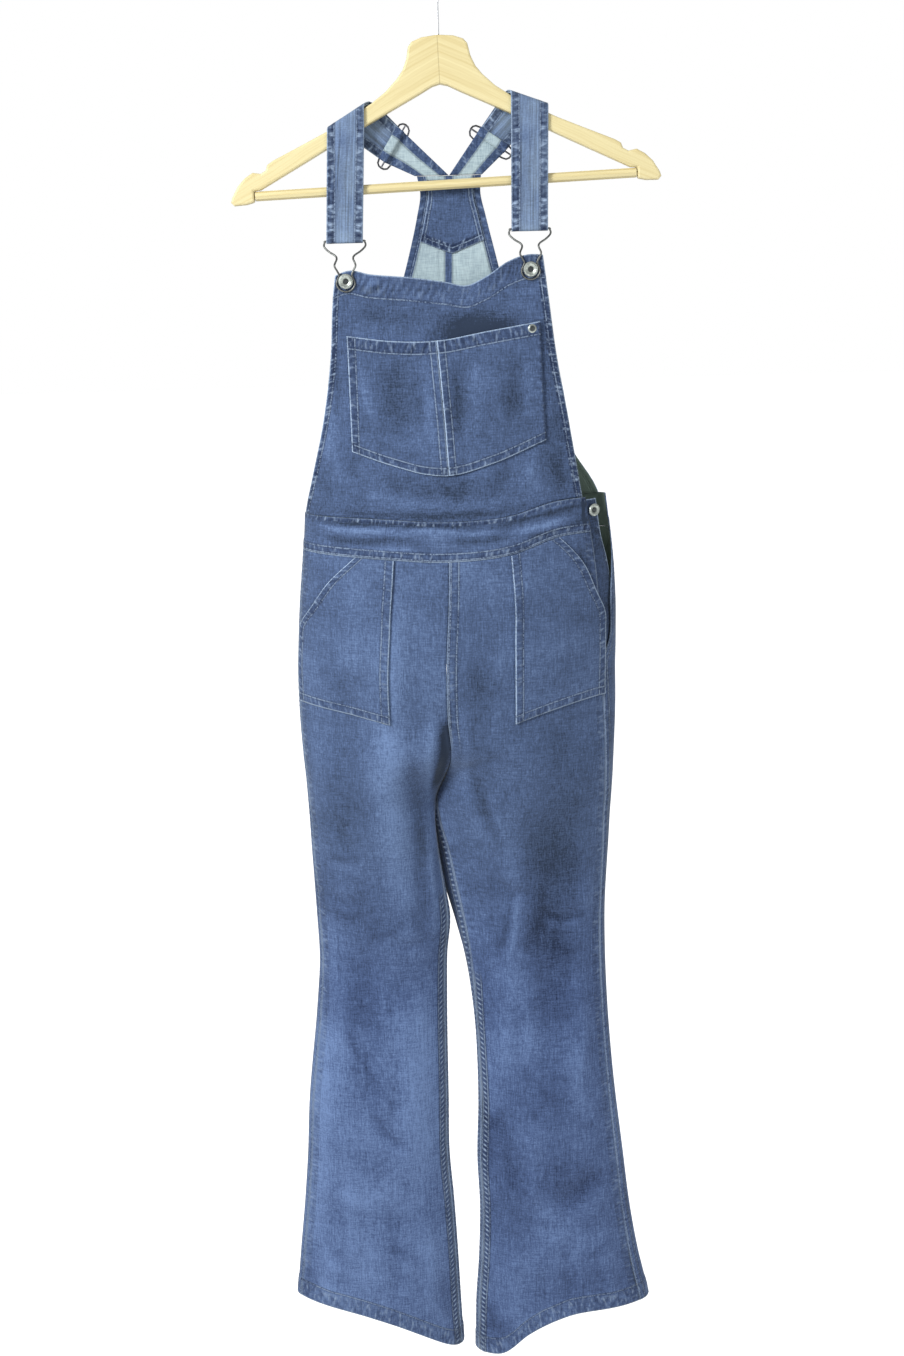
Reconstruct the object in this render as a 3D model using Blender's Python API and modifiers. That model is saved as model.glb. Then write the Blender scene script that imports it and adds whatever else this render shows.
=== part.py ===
"""Denim bib dungarees hanging on a flat wooden hanger.

Sizes are in millimetres until a mesh is made. "drop" is the depth below the inside top of the
hook, which is the origin. X runs to the viewer's right, the bib faces -Y, and left and right
are the viewer's.
"""

import math

import bmesh
import bpy
import numpy as np
from mathutils import Vector

MM = 0.001

# Cloth
CLOTH = 1.5  # one layer of denim with its seam allowance
HEM_CLOTH = 2.4  # the turned hem of a leg
STRAP_CLOTH = 1.2
SEAM_GAP = 0.3
LEG_TRIM = 0.28  # taken off each edge of a leg panel
WAIST_GAP = 0.5  # along the curved seams of the waistbands
BIB_GAP = 0.75  # between the front or back bib and its waistband
POCKET_GAP = 1.0  # under the pockets, which bend the most
PLACKET_GAP = 1.0  # between the placket and the edges that it lies under
LAID_GAP = 0.8  # under a piece that lies on a curved panel
EDGE_COLUMN = 0.4  # width of the narrow column along a panel's edge
BEND_WEIGHT = 14  # how strongly a panel's columns gather where its section bends, mm per radian

# Hanger
WOOD_HALF = 6.0
WOOD_EDGE = 3.3
HANGER_TILT = math.radians(2.0)
HANGER_HEAD = (-2.0, -90.0)  # the point that the wood is tilted about, x and z
BAR_RADIUS = 5.0
BAR_DROP = 227.7
BAR_REACH = 197.9
HOOK_WIRE = 1.9
HOOK_BEND = 20.0
HOOK_STEM_X = -1.5

# Straps and their metal
STRAP_WIDTH = 38.0
CLASP_WIRE = 1.0
CLASP_LENGTH = 50.5
LEAN_FROM = 3.0  # from here down the clasp leans out to the bib's face
CLASP_LEAN = 22.0  # the height over which it does
BUTTON_BELOW = 40.5  # from the clasp's bar down to the bib button
RING_BELOW = 46.0  # from the clasp's bar down to the ring's lower part
SLIDER_WIRE = 1.0
SLIDER_REACH = 22.0
SLIDER_DEPTH = 7.0
BUTTON_RADIUS = 7.8
ROOT_DROP = 218  # where the straps are sewn to the back bib
ROOT_STAND_OFF = 1.2  # how far behind the arm's wrap that seam lies
PLACKET_BUTTON_RADIUS = 7.0
RIVET_RADIUS = 4.5

# Where the legs close under the body
CLOSE_START = 800
CROTCH_DROP = 903
SLIP_LATE = 8  # how late on the way to the crotch the inseam moves to where it lies on the leg

# Bib pocket: x of the seam between its halves and of its outer corners, at the top and bottom
POCKET_SEAM = (-11.0, -1.5)
POCKET_SIDE = {"left": (-105, -104), "right": (98, 103)}
RIVET_PLACE = (90.0, 374.0)

DENIM = (0.085, 0.125, 0.26, 1)
DENIM_DARK = (0.06, 0.085, 0.19, 1)
WOOD = (0.88, 0.79, 0.47, 1)
METAL = (0.5, 0.5, 0.48, 1)


def table(columns, *rows):
    """Rows under named columns, as one array for each name."""
    return dict(zip(columns, np.array(rows, float).T))


def read(rows, column, at, key="drop"):
    """The column's value at a place, on a smooth curve through the table's rows."""
    places, values = rows[key], rows[column]
    slopes = np.gradient(values, places)
    at = np.clip(np.asarray(at, float), places[0], places[-1])
    i = np.clip(np.searchsorted(places, at, side="right") - 1, 0, len(places) - 2)
    span = places[i + 1] - places[i]
    t = (at - places[i]) / span
    start, end = values[i], values[i + 1]
    return (
        (1 + 2 * t) * (1 - t) ** 2 * start
        + t * (1 - t) ** 2 * span * slopes[i]
        + t * t * (3 - 2 * t) * end
        + t * t * (t - 1) * span * slopes[i + 1]
    )


def ease(t):
    t = np.clip(t, 0, 1)
    return t * t * (3 - 2 * t)


def mix(a, b, t):
    return a + (b - a) * t


# The bib: its cut edges, and where its rounded section would close at the sides
BIB = table(
    ("drop", "left", "right", "left_reach", "right_reach"),
    (290, -111, 101, -124, 114),
    (345, -119.5, 108.5, -130, 122),
    (395, -123.5, 115, -136, 132),
    (470, -136, 128.5, -145, 149),
    (525, -150, 138, -155, 164),
    (560, -159, 144, -161, 172),
    (615, -166, 155, -167, 178),
)
BIB_TOP = table(
    ("x", "drop"),
    (-118, 316),
    (-105, 311),
    (-80, 315),
    (-40, 319),
    (0, 325),
    (20, 329),
    (42, 320),
    (65, 306),
    (90, 299),
    (106, 300),
)
WAIST = {
    "front": table(
        ("x", "top", "seam"),
        (-170, 566, 606),
        (-80, 568, 611),
        (-5, 572, 615),
        (65, 568, 609),
        (118, 555, 593),
        (150, 553, 591),
        (182, 553, 591),
    ),
    "back": table(
        ("x", "top", "seam"),
        (-170, 566, 606),
        (-80, 569, 610),
        (0, 569, 610),
        (90, 561, 600),
        (182, 553, 591),
    ),
}
BACK_BIB = table(
    ("drop", "left", "right", "left_reach", "right_reach"),
    (218, -27, 40, -48, 62),
    (235, -24, 39, -46, 62),
    (258, -28, 44, -50, 68),
    (290, -36, 52, -62, 78),
    (321, -45, 60, -76, 90),
    (380, -66, 79, -100, 112),
    (440, -92, 105, -126, 138),
    (511, -128, 138, -148, 160),
    (545, -148, 160, -157, 169),
    (575, -159, 171, -162, 173),
)
BACK_CENTRE = (-4, 6.5)  # x of the back bib's centre seam, at the waistband and at the top

# The body from the waist to the crotch. "lap" is how far inside the silhouette the outseam lies.
# The back's own edge at the open right side has a lap of its own.
BODY = table(
    ("drop", "left", "right", "centre", "front", "back", "left_lap", "right_lap", "open_lap"),
    (545, -160, 170, -4, 53, 42, 1.5, 27, 0.2),
    (610, -166, 178, -4, 58, 50, 1.5, 23, 0.6),
    (670, -173, 183, -6, 64, 58, 2.0, 22, 8.0),
    (715, -177, 183, -9, 65, 61, 2.0, 21, 9.0),
    (742, -179, 183, -10, 64, 63, 2.0, 19, 19),
    (790, -180, 183.5, -10, 60, 64, 2.0, 16, 16),
    (850, -178.5, 182, -8, 55, 62, 2.5, 12, 12),
    (880, -177, 181, -16, 52, 60, 3.0, 11, 11),
    (CROTCH_DROP, -176.5, 180, -25, 50, 58, 3.5, 10, 10),
)
# Each leg below the crotch. "inner" is the inseam side, "inner_lap" how far the inseam lies in
# front of it, and "sway" how far back the inner side sits, so that one thigh overlaps the other.
LEG_COLUMNS = ("drop", "outer", "inner", "front", "back", "lap", "inner_lap", "sway")
LEGS = {
    "left": table(
        LEG_COLUMNS,
        (928, -176, -29.5, 47, 54, 4, 0.5, -8),
        (965, -175.5, -26, 44, 50, 4, 0.5, -9),
        (1025, -174.5, -17.5, 41, 45, 5, 2, -9),
        (1052, -174, -14, 39, 42, 5, 3, -7),
        (1110, -173.5, -18.5, 36, 38, 5, 3, 0),
        (1175, -180, -20.5, 34, 36, 6, 3, 0),
        (1310, -197, -22, 33, 32, 6, 3, 0),
        (1385, -203, -23, 32, 30, 6, 3, 0),
        (1460, -211, -19, 32, 30, 6, 3, 0),
        (1535, -220.5, -16, 33, 31, 6, 3, 0),
        (1600, -228, -14, 34, 32, 6, 3, 0),
        (1690, -236, -11, 36, 33, 6, 3, 0),
    ),
    "right": table(
        LEG_COLUMNS,
        (928, 178.5, -29, 47, 54, 10, 8, 8),
        (965, 177, -27.5, 44, 50, 9, 14, 9),
        (1025, 174, -19, 41, 45, 8, 17, 9),
        (1052, 173, -12, 39, 42, 8, 15, 7),
        (1110, 173.5, 2, 36, 38, 8, 9, 0),
        (1175, 176.5, 11, 34, 36, 8, 4, 0),
        (1320, 189, 15, 33, 32, 9, 4, 0),
        (1395, 198, 12.5, 32, 30, 10, 4, 0),
        (1470, 207, 14.5, 32, 30, 11, 4, 0),
        (1545, 219.5, 12, 33, 31, 12, 4, 0),
        (1614, 234, 7, 34, 32, 13, 4, 0),
        (1690, 243, 5, 36, 33, 13, 4, 0),
    ),
}
HEMS = {
    "left": table(
        ("x", "drop"), (-236, 1594), (-140, 1615), (-85, 1635), (-45, 1656), (-10, 1680)
    ),
    "right": table(
        ("x", "drop"), (8, 1689), (30, 1684), (75, 1650), (143, 1621), (242, 1612)
    ),
}
SIDE_SIGN = {"left": -1, "right": 1}
FACE_SIGN = {"front": -1, "back": 1}

# The largest folds: each is a soft ridge, or a trough where its depth is negative, along the line
# from x1, drop1 to x2, drop2
FOLD_COLUMNS = ("x1", "drop1", "x2", "drop2", "width", "depth")
FOLDS = {
    "front": table(
        FOLD_COLUMNS,
        (-117, 690, -136, 950, 20, -3.0),
        (-80, 660, -66, 1010, 26, 3.5),
        (-57, 830, -42, 1040, 14, -3.2),
        (-120, 1050, -116, 1330, 18, -3.5),
        (-56, 1120, -64, 1430, 24, 2.5),
        (-174, 1240, -182, 1470, 18, 2.0),
        (-26, 790, -33, 890, 12, 3.0),
        (-6, 760, -16, 890, 11, -4.0),
        (35, 905, 64, 1020, 16, 3.0),
        (64, 990, 42, 1280, 18, 3.2),
        (118, 760, 104, 1300, 30, -4.5),
        (36, 1310, 60, 1440, 17, -2.5),
        (108, 1462, 174, 1402, 17, -2.5),
    ),
    "back": table(
        FOLD_COLUMNS,
        (-40, 872, -128, 912, 17, -3.5),
        (36, 876, 130, 922, 18, -3.5),
        (-112, 690, -120, 860, 24, 2.5),
        (98, 700, 112, 850, 22, 2.5),
        (-108, 1050, -114, 1340, 22, 3.0),
        (96, 1060, 112, 1360, 24, 3.0),
        (-60, 1130, -66, 1420, 17, -2.5),
        (52, 1150, 60, 1440, 18, -2.5),
    ),
    "bib": table(
        FOLD_COLUMNS,
        (-60, 398, -40, 495, 15, -2.2),
        (22, 388, 8, 492, 16, -2.6),
        (64, 398, 32, 520, 15, 2.2),
        (-12, 380, -8, 510, 11, 2.0),
        (-98, 505, -72, 562, 13, 1.8),
        (-40, 515, -16, 565, 14, -1.8),
        (48, 510, 18, 565, 14, 1.8),
    ),
}
LEG_FOLDS_FROM = 625  # no leg fold reaches the waistband above
BIB_FOLDS_TO = 560  # or a bib fold the one below


def leg_table(side):
    """One table from the waist to the hem: the body's rows, then the leg's own."""
    legs = LEGS[side]
    body = BODY["drop"]
    inset = SIDE_SIGN[side] * SEAM_GAP / 2
    columns = {
        "outer": BODY[side],
        "inner": BODY["centre"] + inset,
        "front": BODY["front"],
        "back": BODY["back"],
        "lap": BODY[side + "_lap"],
        "inner_lap": np.zeros(len(body)),
        "sway": np.zeros(len(body)),
    }
    joined = {name: np.append(values, legs[name]) for name, values in columns.items()}
    joined["drop"] = np.append(body, legs["drop"])
    own = BODY["open_lap"] if side == "right" else BODY["left_lap"]
    joined["back_lap"] = np.append(own, legs["lap"])
    return joined


TABLES = {side: leg_table(side) for side in SIDE_SIGN}


def closing(drop):
    """0 where the body is one tube, 1 where each leg is a tube of its own."""
    return ease((np.asarray(drop, float) - CLOSE_START) / (CROTCH_DROP - CLOSE_START))


def turn_at(side, inset, drop):
    """The section's angle where its surface lies this far inside the outer silhouette."""
    rows = TABLES[side]
    whole = 1 - np.cos(math.pi / 2 * (1 + closing(drop)))
    width = np.abs(read(rows, "inner", drop) - read(rows, "outer", drop))
    return np.arccos(np.clip(1 - inset / width * whole, -1, 1))


def folds_at(place, x, drop):
    """How far the folds of the front, back or bib stand out at these places."""
    found = 0
    for x1, drop1, x2, drop2, width, depth in zip(*FOLDS[place].values()):
        run_x, run_drop = x2 - x1, drop2 - drop1
        part = ((x - x1) * run_x + (drop - drop1) * run_drop) / (run_x**2 + run_drop**2)
        part = np.clip(part, 0, 1)
        away = (x - x1 - part * run_x) ** 2 + (drop - drop1 - part * run_drop) ** 2
        found = found + depth * ease(4 * part) * ease(4 - 4 * part) * np.exp(-away / width**2)
    return found


def section(side, face, turn, drop):
    """A point of the garment's outer skin. The turn is 0 at the silhouette and grows inwards."""
    rows = TABLES[side]
    outer, inner = read(rows, "outer", drop), read(rows, "inner", drop)
    whole = 1 - np.cos(math.pi / 2 * (1 + closing(drop)))
    x = outer + (inner - outer) * (1 - np.cos(turn)) / whole
    other = "back" if face == "front" else "front"
    rise = np.sin(turn)
    depth = np.where(rise > 0, read(rows, face, drop), read(rows, other, drop))
    sway = read(rows, "sway", drop) * ((1 - np.cos(turn)) / whole) ** 3
    fold = folds_at(face, x, drop) * ease((drop - LEG_FOLDS_FROM) / 60)
    y = FACE_SIGN[face] * (depth * rise + fold * rise**2) + sway
    return np.stack([x, y, -np.asarray(drop, float)], axis=-1)


def waist_drop(side, face, turn, edge):
    """The drop of the waistband's top or seam at an angle of the body's section."""
    rows = TABLES[side]
    x = rows["inner"][1] + (rows["outer"][1] - rows["inner"][1]) * np.cos(turn)
    return read(WAIST[face], edge, x, "x")


def spread_turns(side, face, drop, f, end):
    """Angles from the outseam, or the open edge, to the end, for parts f of the way."""
    lap = read(TABLES[side], "lap", drop)
    if face == "back":
        lap = np.clip(read(TABLES[side], "back_lap", drop), 0, lap)
    start = turn_at(side, lap, drop) * (1 if face == "front" else -1)
    return mix(start, end, f)


def leg_row(side, face, above, below, samples=241):
    """One row of a leg panel from the outseam to the centre seam or inseam.

    The row lies this part of the way from the waist seam to the crotch, then to the hem.
    """
    f = np.linspace(0, 1, samples)
    rows = TABLES[side]
    top = waist_drop(side, face, f * math.pi / 2, "seam") + WAIST_GAP
    hem_x = mix(rows["outer"][-1], rows["inner"][-1], (1 - np.cos(f * math.pi)) / 2)
    drop = mix(mix(top, CROTCH_DROP, above), read(HEMS[side], "drop", hem_x, "x"), below)
    end = math.pi / 2 * (1 + closing(drop))
    width = np.abs(read(rows, "inner", drop) - read(rows, "outer", drop))
    inner_lap = np.maximum(read(rows, "inner_lap", drop), 0)
    slip = np.arccos(1 - 2 * inner_lap / width) * closing(drop) ** SLIP_LATE
    end = end - slip if face == "front" else end + slip
    turn = spread_turns(side, face, drop, f, end)
    if above == 0:
        drop = waist_drop(side, face, np.abs(turn), "seam") + WAIST_GAP
    return section(side, face, turn, drop)


def waist_row(face, v, samples=241):
    """One row of a waistband, from the left side seam across to the right."""
    f = np.linspace(0, 1, samples)
    halves = []
    for side in ("left", "right"):
        turn = spread_turns(side, face, 590 if side == "left" else 572 + 20 * v, f, math.pi / 2)
        edges = [waist_drop(side, face, np.abs(turn), edge) for edge in ("top", "seam")]
        half = section(side, face, turn, mix(*edges, v))
        halves.append(half if side == "left" else half[::-1])
    return np.concatenate([halves[0][:-1], halves[1][1:]])


# The slack cloth of the bib sags inwards under its top edge
HOLLOW = {"x": 26, "drop": 326, "half": 40, "height": 26, "depth": 11}


def bib_skin(x, drop):
    """The outer skin of the bib: nearly flat at the top, rounded at the waist, with a hollow."""
    up = np.clip((572 - drop) / (572 - 315), 0, 1.1)
    centre = read(BODY, "centre", drop)
    reach = np.where(
        x < centre, read(BIB, "left_reach", drop), read(BIB, "right_reach", drop)
    )
    across = np.clip((x - centre) / (reach - centre), -1, 1)
    waist_depth = read(BODY, "front", np.maximum(drop, 545))
    dome = mix(waist_depth, 7, up**0.8)
    hollow_x = (x - HOLLOW["x"]) / HOLLOW["half"]
    hollow_drop = (drop - HOLLOW["drop"]) / HOLLOW["height"]
    slack = HOLLOW["depth"] * np.exp(-(hollow_x**2) - hollow_drop**2)
    fold = folds_at("bib", x, drop) * ease((BIB_FOLDS_TO - drop) / 25)
    y = -(13 * up + dome * np.sqrt(1 - across**2) + fold) + slack
    return np.stack(np.broadcast_arrays(x, y, -np.asarray(drop, float)), axis=-1)


def bib_row(v, samples=41):
    f = np.linspace(0, 1, samples)
    drop_top = read(BIB_TOP, "drop", mix(-117, 104, f), "x")
    drop_end = read(WAIST["front"], "top", mix(-160, 145, f), "x") - BIB_GAP
    drop = mix(drop_top, drop_end, v)
    x = mix(read(BIB, "left", drop), read(BIB, "right", drop), f)
    if v == 1:
        drop = read(WAIST["front"], "top", x, "x") - BIB_GAP
    return bib_skin(x, drop)


def back_bib_up(drop):
    """0 at the waistband, 1 where the straps are sewn on."""
    low = BACK_BIB["drop"][-1]
    return np.clip((low - drop) / (low - ROOT_DROP), 0, 1)


def back_bib_skin(x, drop):
    up = back_bib_up(drop)
    centre = mix(*BACK_CENTRE, up)
    reach = np.where(
        x < centre, read(BACK_BIB, "left_reach", drop), read(BACK_BIB, "right_reach", drop)
    )
    across = np.clip((x - centre) / (reach - centre), -1, 1)
    dome = mix(read(BODY, "back", np.maximum(drop, 545)), 3, up**0.7)
    y = 8.2 * up + dome * np.sqrt(1 - across**2)
    return np.stack(np.broadcast_arrays(x, y, -np.asarray(drop, float)), axis=-1)


def back_bib_row(side, v, samples=25):
    f = np.linspace(0, 1, samples)
    edge = BACK_BIB[side][-1]
    low = read(WAIST["back"], "top", mix(edge, BACK_CENTRE[0], f), "x") - BIB_GAP
    drop = mix(ROOT_DROP + SEAM_GAP, low, v)
    centre = mix(*BACK_CENTRE, back_bib_up(drop))
    x = mix(read(BACK_BIB, side, drop), centre + SIDE_SIGN[side] * SEAM_GAP / 2, f)
    if v == 1:
        drop = read(WAIST["back"], "top", x, "x") - BIB_GAP
    return back_bib_skin(x, drop)


def walk(line, count, trim=SEAM_GAP / 2, bend=BEND_WEIGHT):
    """Points along a line, closer together where it bends, trimmed at both ends."""
    steps = np.diff(line, axis=0)
    lengths = np.linalg.norm(steps, axis=1)
    whole = lengths.sum()
    at = np.concatenate([[0], np.cumsum(lengths)])
    heading = steps / lengths[:, None]
    turns = np.arccos(np.clip((heading[1:] * heading[:-1]).sum(axis=1), -1, 1))
    weight = lengths.copy()
    weight[1:] += bend * turns / 2
    weight[:-1] += bend * turns / 2
    spread = np.concatenate([[0], np.cumsum(weight)])
    inner = np.interp(np.linspace(0, spread[-1], count), spread, at)
    # A narrow column along each edge gives the wall there the same normal as its neighbour's.
    edge = trim + EDGE_COLUMN
    places = np.concatenate([[trim, edge], inner[1:-1], [whole - edge, whole - trim]])
    return np.stack([np.interp(places, at, line[:, k]) for k in range(3)], axis=1)


def grid_panel(name, points, facing, wall, colour, hem_from=None, offset=-1.0):
    """A panel of cloth: a grid laid through rows of points, given its wall."""
    points = np.asarray(points, float)
    down, across = points.shape[:2]
    work = bmesh.new()
    bmesh.ops.create_grid(work, x_segments=across - 1, y_segments=down - 1, size=0.5)
    for vertex in work.verts:
        i = round((vertex.co.x + 0.5) * (across - 1))
        j = round((0.5 - vertex.co.y) * (down - 1))
        vertex.co = Vector(points[j, i] * MM)
    work.normal_update()
    total = sum((face.normal * face.calc_area() for face in work.faces), Vector())
    if total.dot(Vector(facing)) < 0:
        bmesh.ops.reverse_faces(work, faces=work.faces)
    mesh = bpy.data.meshes.new(name)
    work.to_mesh(mesh)
    work.free()
    piece = bpy.data.objects.new(name, mesh)
    garment.objects.link(piece)
    solidify = piece.modifiers.new("Wall", "SOLIDIFY")
    solidify.thickness = wall * MM
    solidify.offset = offset
    if hem_from is not None:
        hem = piece.vertex_groups.new(name="hem")
        lowest = points[hem_from:].reshape(-1, 3) * MM
        near = [
            vertex.index for vertex in mesh.vertices
            if np.abs(lowest - np.array(vertex.co)).max(axis=1).min() < 1e-6
        ]
        hem.add(near, 1.0, "REPLACE")
        solidify.thickness = HEM_CLOTH * MM
        solidify.vertex_group = "hem"
        solidify.thickness_vertex_group = wall / HEM_CLOTH
    finish(piece, colour)
    return piece


def finish(piece, colour, roughness=0.85, metallic=0.0):
    surface = bpy.data.materials.new(piece.name)
    surface.use_nodes = True
    shader = surface.node_tree.nodes["Principled BSDF"]
    shader.inputs["Base Color"].default_value = colour
    shader.inputs["Roughness"].default_value = roughness
    shader.inputs["Metallic"].default_value = metallic
    piece.data.materials.append(surface)
    if piece.type == "MESH":
        piece.data.shade_smooth()
        piece.data.set_sharp_from_angle(angle=math.radians(40))


def outward(points):
    """Unit normals of a grid of points, from the steps to the neighbours."""
    along, down = np.gradient(points, axis=1), np.gradient(points, axis=0)
    normal = np.cross(along, down)
    return normal / np.linalg.norm(normal, axis=-1, keepdims=True)


def moved_out(points, distance, facing):
    normal = outward(points)
    if (normal @ np.asarray(facing, float)).mean() < 0:
        normal = -normal
    return points + normal * distance


def wire(name, points, radius, colour=METAL, closed=False, roughness=0.35, metallic=1.0):
    data = bpy.data.curves.new(name, "CURVE")
    data.dimensions = "3D"
    data.bevel_depth = radius * MM
    data.bevel_resolution = 1
    data.use_fill_caps = not closed
    spline = data.splines.new("POLY")
    spline.points.add(len(points) - 1)
    for target, point in zip(spline.points, points):
        target.co = (*(np.asarray(point, float) * MM), 1)
    spline.use_cyclic_u = closed
    piece = bpy.data.objects.new(name, data)
    garment.objects.link(piece)
    finish(piece, colour, roughness, metallic)
    return piece


def rounded(corners, steps=4, closed=True):
    """Points through the corners on a smooth closed or open curve."""
    corners = np.asarray(corners, float)
    count = len(corners)
    found = []
    for i in range(count if closed else count - 1):
        if closed:
            a, b, c, d = (corners[(i + k) % count] for k in (-1, 0, 1, 2))
        else:
            a, b, c, d = (corners[min(max(i + k, 0), count - 1)] for k in (-1, 0, 1, 2))
        for t in np.arange(steps) / steps:
            found.append(
                0.5
                * (
                    2 * b
                    + (c - a) * t
                    + (2 * a - 5 * b + 4 * c - d) * t**2
                    + (3 * b - a - 3 * c + d) * t**3
                )
            )
    if not closed:
        found.append(corners[-1])
    return np.array(found)


def turned(name, profile, place, facing, colour=METAL, steps=20):
    """A profile of radius and height turned about the line that it faces along."""
    work = bmesh.new()
    corners = [work.verts.new((radius * MM, 0, height * MM)) for radius, height in profile]
    for pair in zip(corners, corners[1:]):
        work.edges.new(pair)
    mesh = bpy.data.meshes.new(name)
    work.to_mesh(mesh)
    work.free()
    piece = bpy.data.objects.new(name, mesh)
    garment.objects.link(piece)
    screw = piece.modifiers.new("Turn", "SCREW")
    screw.steps = steps
    screw.render_steps = steps
    screw.use_merge_vertices = True
    screw.merge_threshold = 0.00001
    piece.location = Vector(place) * MM
    piece.rotation_mode = "QUATERNION"
    piece.rotation_quaternion = Vector((0, 0, 1)).rotation_difference(Vector(facing))
    finish(piece, colour, 0.3, 1.0)
    return piece


def tilted(points):
    """Points of the upright hanger, x and z, turned to how it hangs."""
    x, z = np.asarray(points, float).T
    head_x, head_z = HANGER_HEAD
    cos, sin = math.cos(HANGER_TILT), math.sin(HANGER_TILT)
    rise = z - head_z
    return np.stack([head_x + x * cos - rise * sin, head_z + x * sin + rise * cos], axis=1)


# Half of the upright hanger's outline, from the head's top round the arm to the inner corner
HANGER_HALF = (
    (0, -85),
    (16, -86.5),
    (26, -90),
    (30, -94.5),
    (32.5, -106),
    (37, -116),
    (43.5, -124),
    (56, -135.5),
    (71, -145.5),
    (95, -158),
    (118, -169.3),
    (150, -183),
    (176, -194),
    (182.5, -197.8),
    (184.5, -203),
    (190, -206),
    (198.5, -204.6),
    (207, -209.5),
    (215, -217),
    (222, -228),
    (223.5, -232.5),
    (220.5, -236),
    (208, -235.5),
    (199, -233.5),
    (199, -222.5),
    (192, -222),
    (150, -201.5),
    (112, -182.7),
    (57, -156.5),
    (22, -140),
    (8, -133),
)


def build_hanger():
    outline = list(HANGER_HALF) + [(0, -131)] + [(-x, z) for x, z in HANGER_HALF[:0:-1]]
    corners = tilted(outline)
    work = bmesh.new()
    rim = [work.verts.new((x * MM, -WOOD_HALF * MM, z * MM)) for x, z in corners]
    front = work.faces.new(rim)
    grown = bmesh.ops.extrude_face_region(work, geom=[front])
    moved = [item for item in grown["geom"] if isinstance(item, bmesh.types.BMVert)]
    bmesh.ops.translate(work, verts=moved, vec=(0, 2 * WOOD_HALF * MM, 0))
    bmesh.ops.recalc_face_normals(work, faces=work.faces)
    mesh = bpy.data.meshes.new("hanger_wood")
    work.to_mesh(mesh)
    work.free()
    piece = bpy.data.objects.new("hanger_wood", mesh)
    garment.objects.link(piece)
    bevel = piece.modifiers.new("Rounding", "BEVEL")
    bevel.width = 2.0 * MM
    bevel.segments = 2
    bevel.limit_method = "ANGLE"
    bevel.angle_limit = math.radians(60)
    finish(piece, WOOD, 0.5)

    left, right = tilted([(-BAR_REACH, -BAR_DROP), (BAR_REACH, -BAR_DROP)])
    bar = wire("hanger_bar", [(left[0], 0, left[1]), (right[0], 0, right[1])], BAR_RADIUS,
               WOOD, roughness=0.5, metallic=0)
    bar.data.bevel_resolution = 3

    centre_z = HOOK_WIRE - HOOK_BEND
    ring = [
        (HOOK_BEND * math.cos(a), 0, centre_z + HOOK_BEND * math.sin(a))
        for a in np.radians(np.arange(-42, 203, 14))
    ]
    stem = rounded(
        [(HOOK_STEM_X, 0, -84.4), (HOOK_STEM_X, 0, -66), (HOOK_STEM_X + 0.5, 0, -52),
         (5, 0, -41.5), ring[0]],
        closed=False,
    )
    wire("hanger_hook", np.concatenate([stem[:-1], ring]), HOOK_WIRE)


# Each strap's fold over the arm, its run in front, the slider behind and its root at the back bib
STRAPS = {
    "left": {"x": -99.3, "top": -162.2, "slope": math.radians(29.6), "bottom": -283.5,
             "lean": 0.056, "slider": (-50.3, -188.8), "slider_turn": math.radians(56.5),
             "root": (-29.0, 6.2), "drape": 18.0},
    "right": {"x": 91.5, "top": -148.2, "slope": math.radians(-19.0), "bottom": -276.0,
              "lean": 0.009, "slider": (51.0, -187.0), "slider_turn": math.radians(-33.0),
              "root": (6.8, 41.0), "drape": 17.0},
}
INNER_LIFT = STRAP_CLOTH / 2
OUTER_LIFT = STRAP_CLOTH * 1.5 + SEAM_GAP
WRAP_HALF = WOOD_HALF + SEAM_GAP
TAIL_LENGTH = 7.0  # the strap's end, turned back under the slider's bar
CLASP_LOOP = CLASP_WIRE + SEAM_GAP + STRAP_CLOTH / 2
CLASP_Y = -(WRAP_HALF + (INNER_LIFT + OUTER_LIFT) / 2)


def over_arm(strap, w, run, lift):
    """Where a strap's point lies that is w from its middle and run above the fold's front line."""
    slope = strap["slope"]
    cos, sin = math.cos(slope), math.sin(slope)
    along, height = w * cos + run * sin, run * cos - w * sin
    flat = 2 * (WRAP_HALF - WOOD_EDGE)
    corner = WOOD_EDGE + lift
    quarter = math.pi / 2 * corner
    side = WRAP_HALF - WOOD_EDGE
    if height <= 0:
        y, rise = -(WRAP_HALF + lift), height
    elif height < quarter:
        y = -side - corner * math.cos(height / corner)
        rise = corner * math.sin(height / corner)
    elif height < quarter + flat:
        y, rise = height - quarter - side, corner
    elif height < 2 * quarter + flat:
        a = (height - quarter - flat) / corner
        y, rise = side + corner * math.sin(a), corner * math.cos(a)
    else:
        y, rise = WRAP_HALF + lift, 2 * quarter + flat - height
    base_x = strap["x"] + WOOD_EDGE * sin
    base_z = strap["top"] - WOOD_EDGE * cos
    lean = strap["lean"] * min(run, 0)
    return (base_x + along * cos - rise * sin + lean, y, base_z + along * sin + rise * cos)


def strap_row(strap, run, lift, shear=1.0):
    half = STRAP_WIDTH / 2
    tan = math.tan(strap["slope"])
    return [over_arm(strap, w, run + w * tan * shear, lift) for w in (-half, half)]


def wrap_runs(strap, lift):
    """The runs of the rows that go over the arm, and of the first row behind it."""
    corner = WOOD_EDGE + lift
    quarter = math.pi / 2 * corner
    flat = 2 * (WRAP_HALF - WOOD_EDGE)
    heights = [quarter * k / 4 for k in range(5)]
    heights += [quarter + flat + quarter * k / 4 for k in range(5)]
    heights += [2 * quarter + flat + 4]
    return [height / math.cos(strap["slope"]) for height in heights]


def slider_edges(strap, lift):
    x, z = strap["slider"]
    reach = strap["drape"]
    across_x = math.cos(strap["slider_turn"]) * reach
    across_z = math.sin(strap["slider_turn"]) * reach
    y = WRAP_HALF + lift
    return [(x - across_x, y, z - across_z), (x + across_x, y, z + across_z)]


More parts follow.
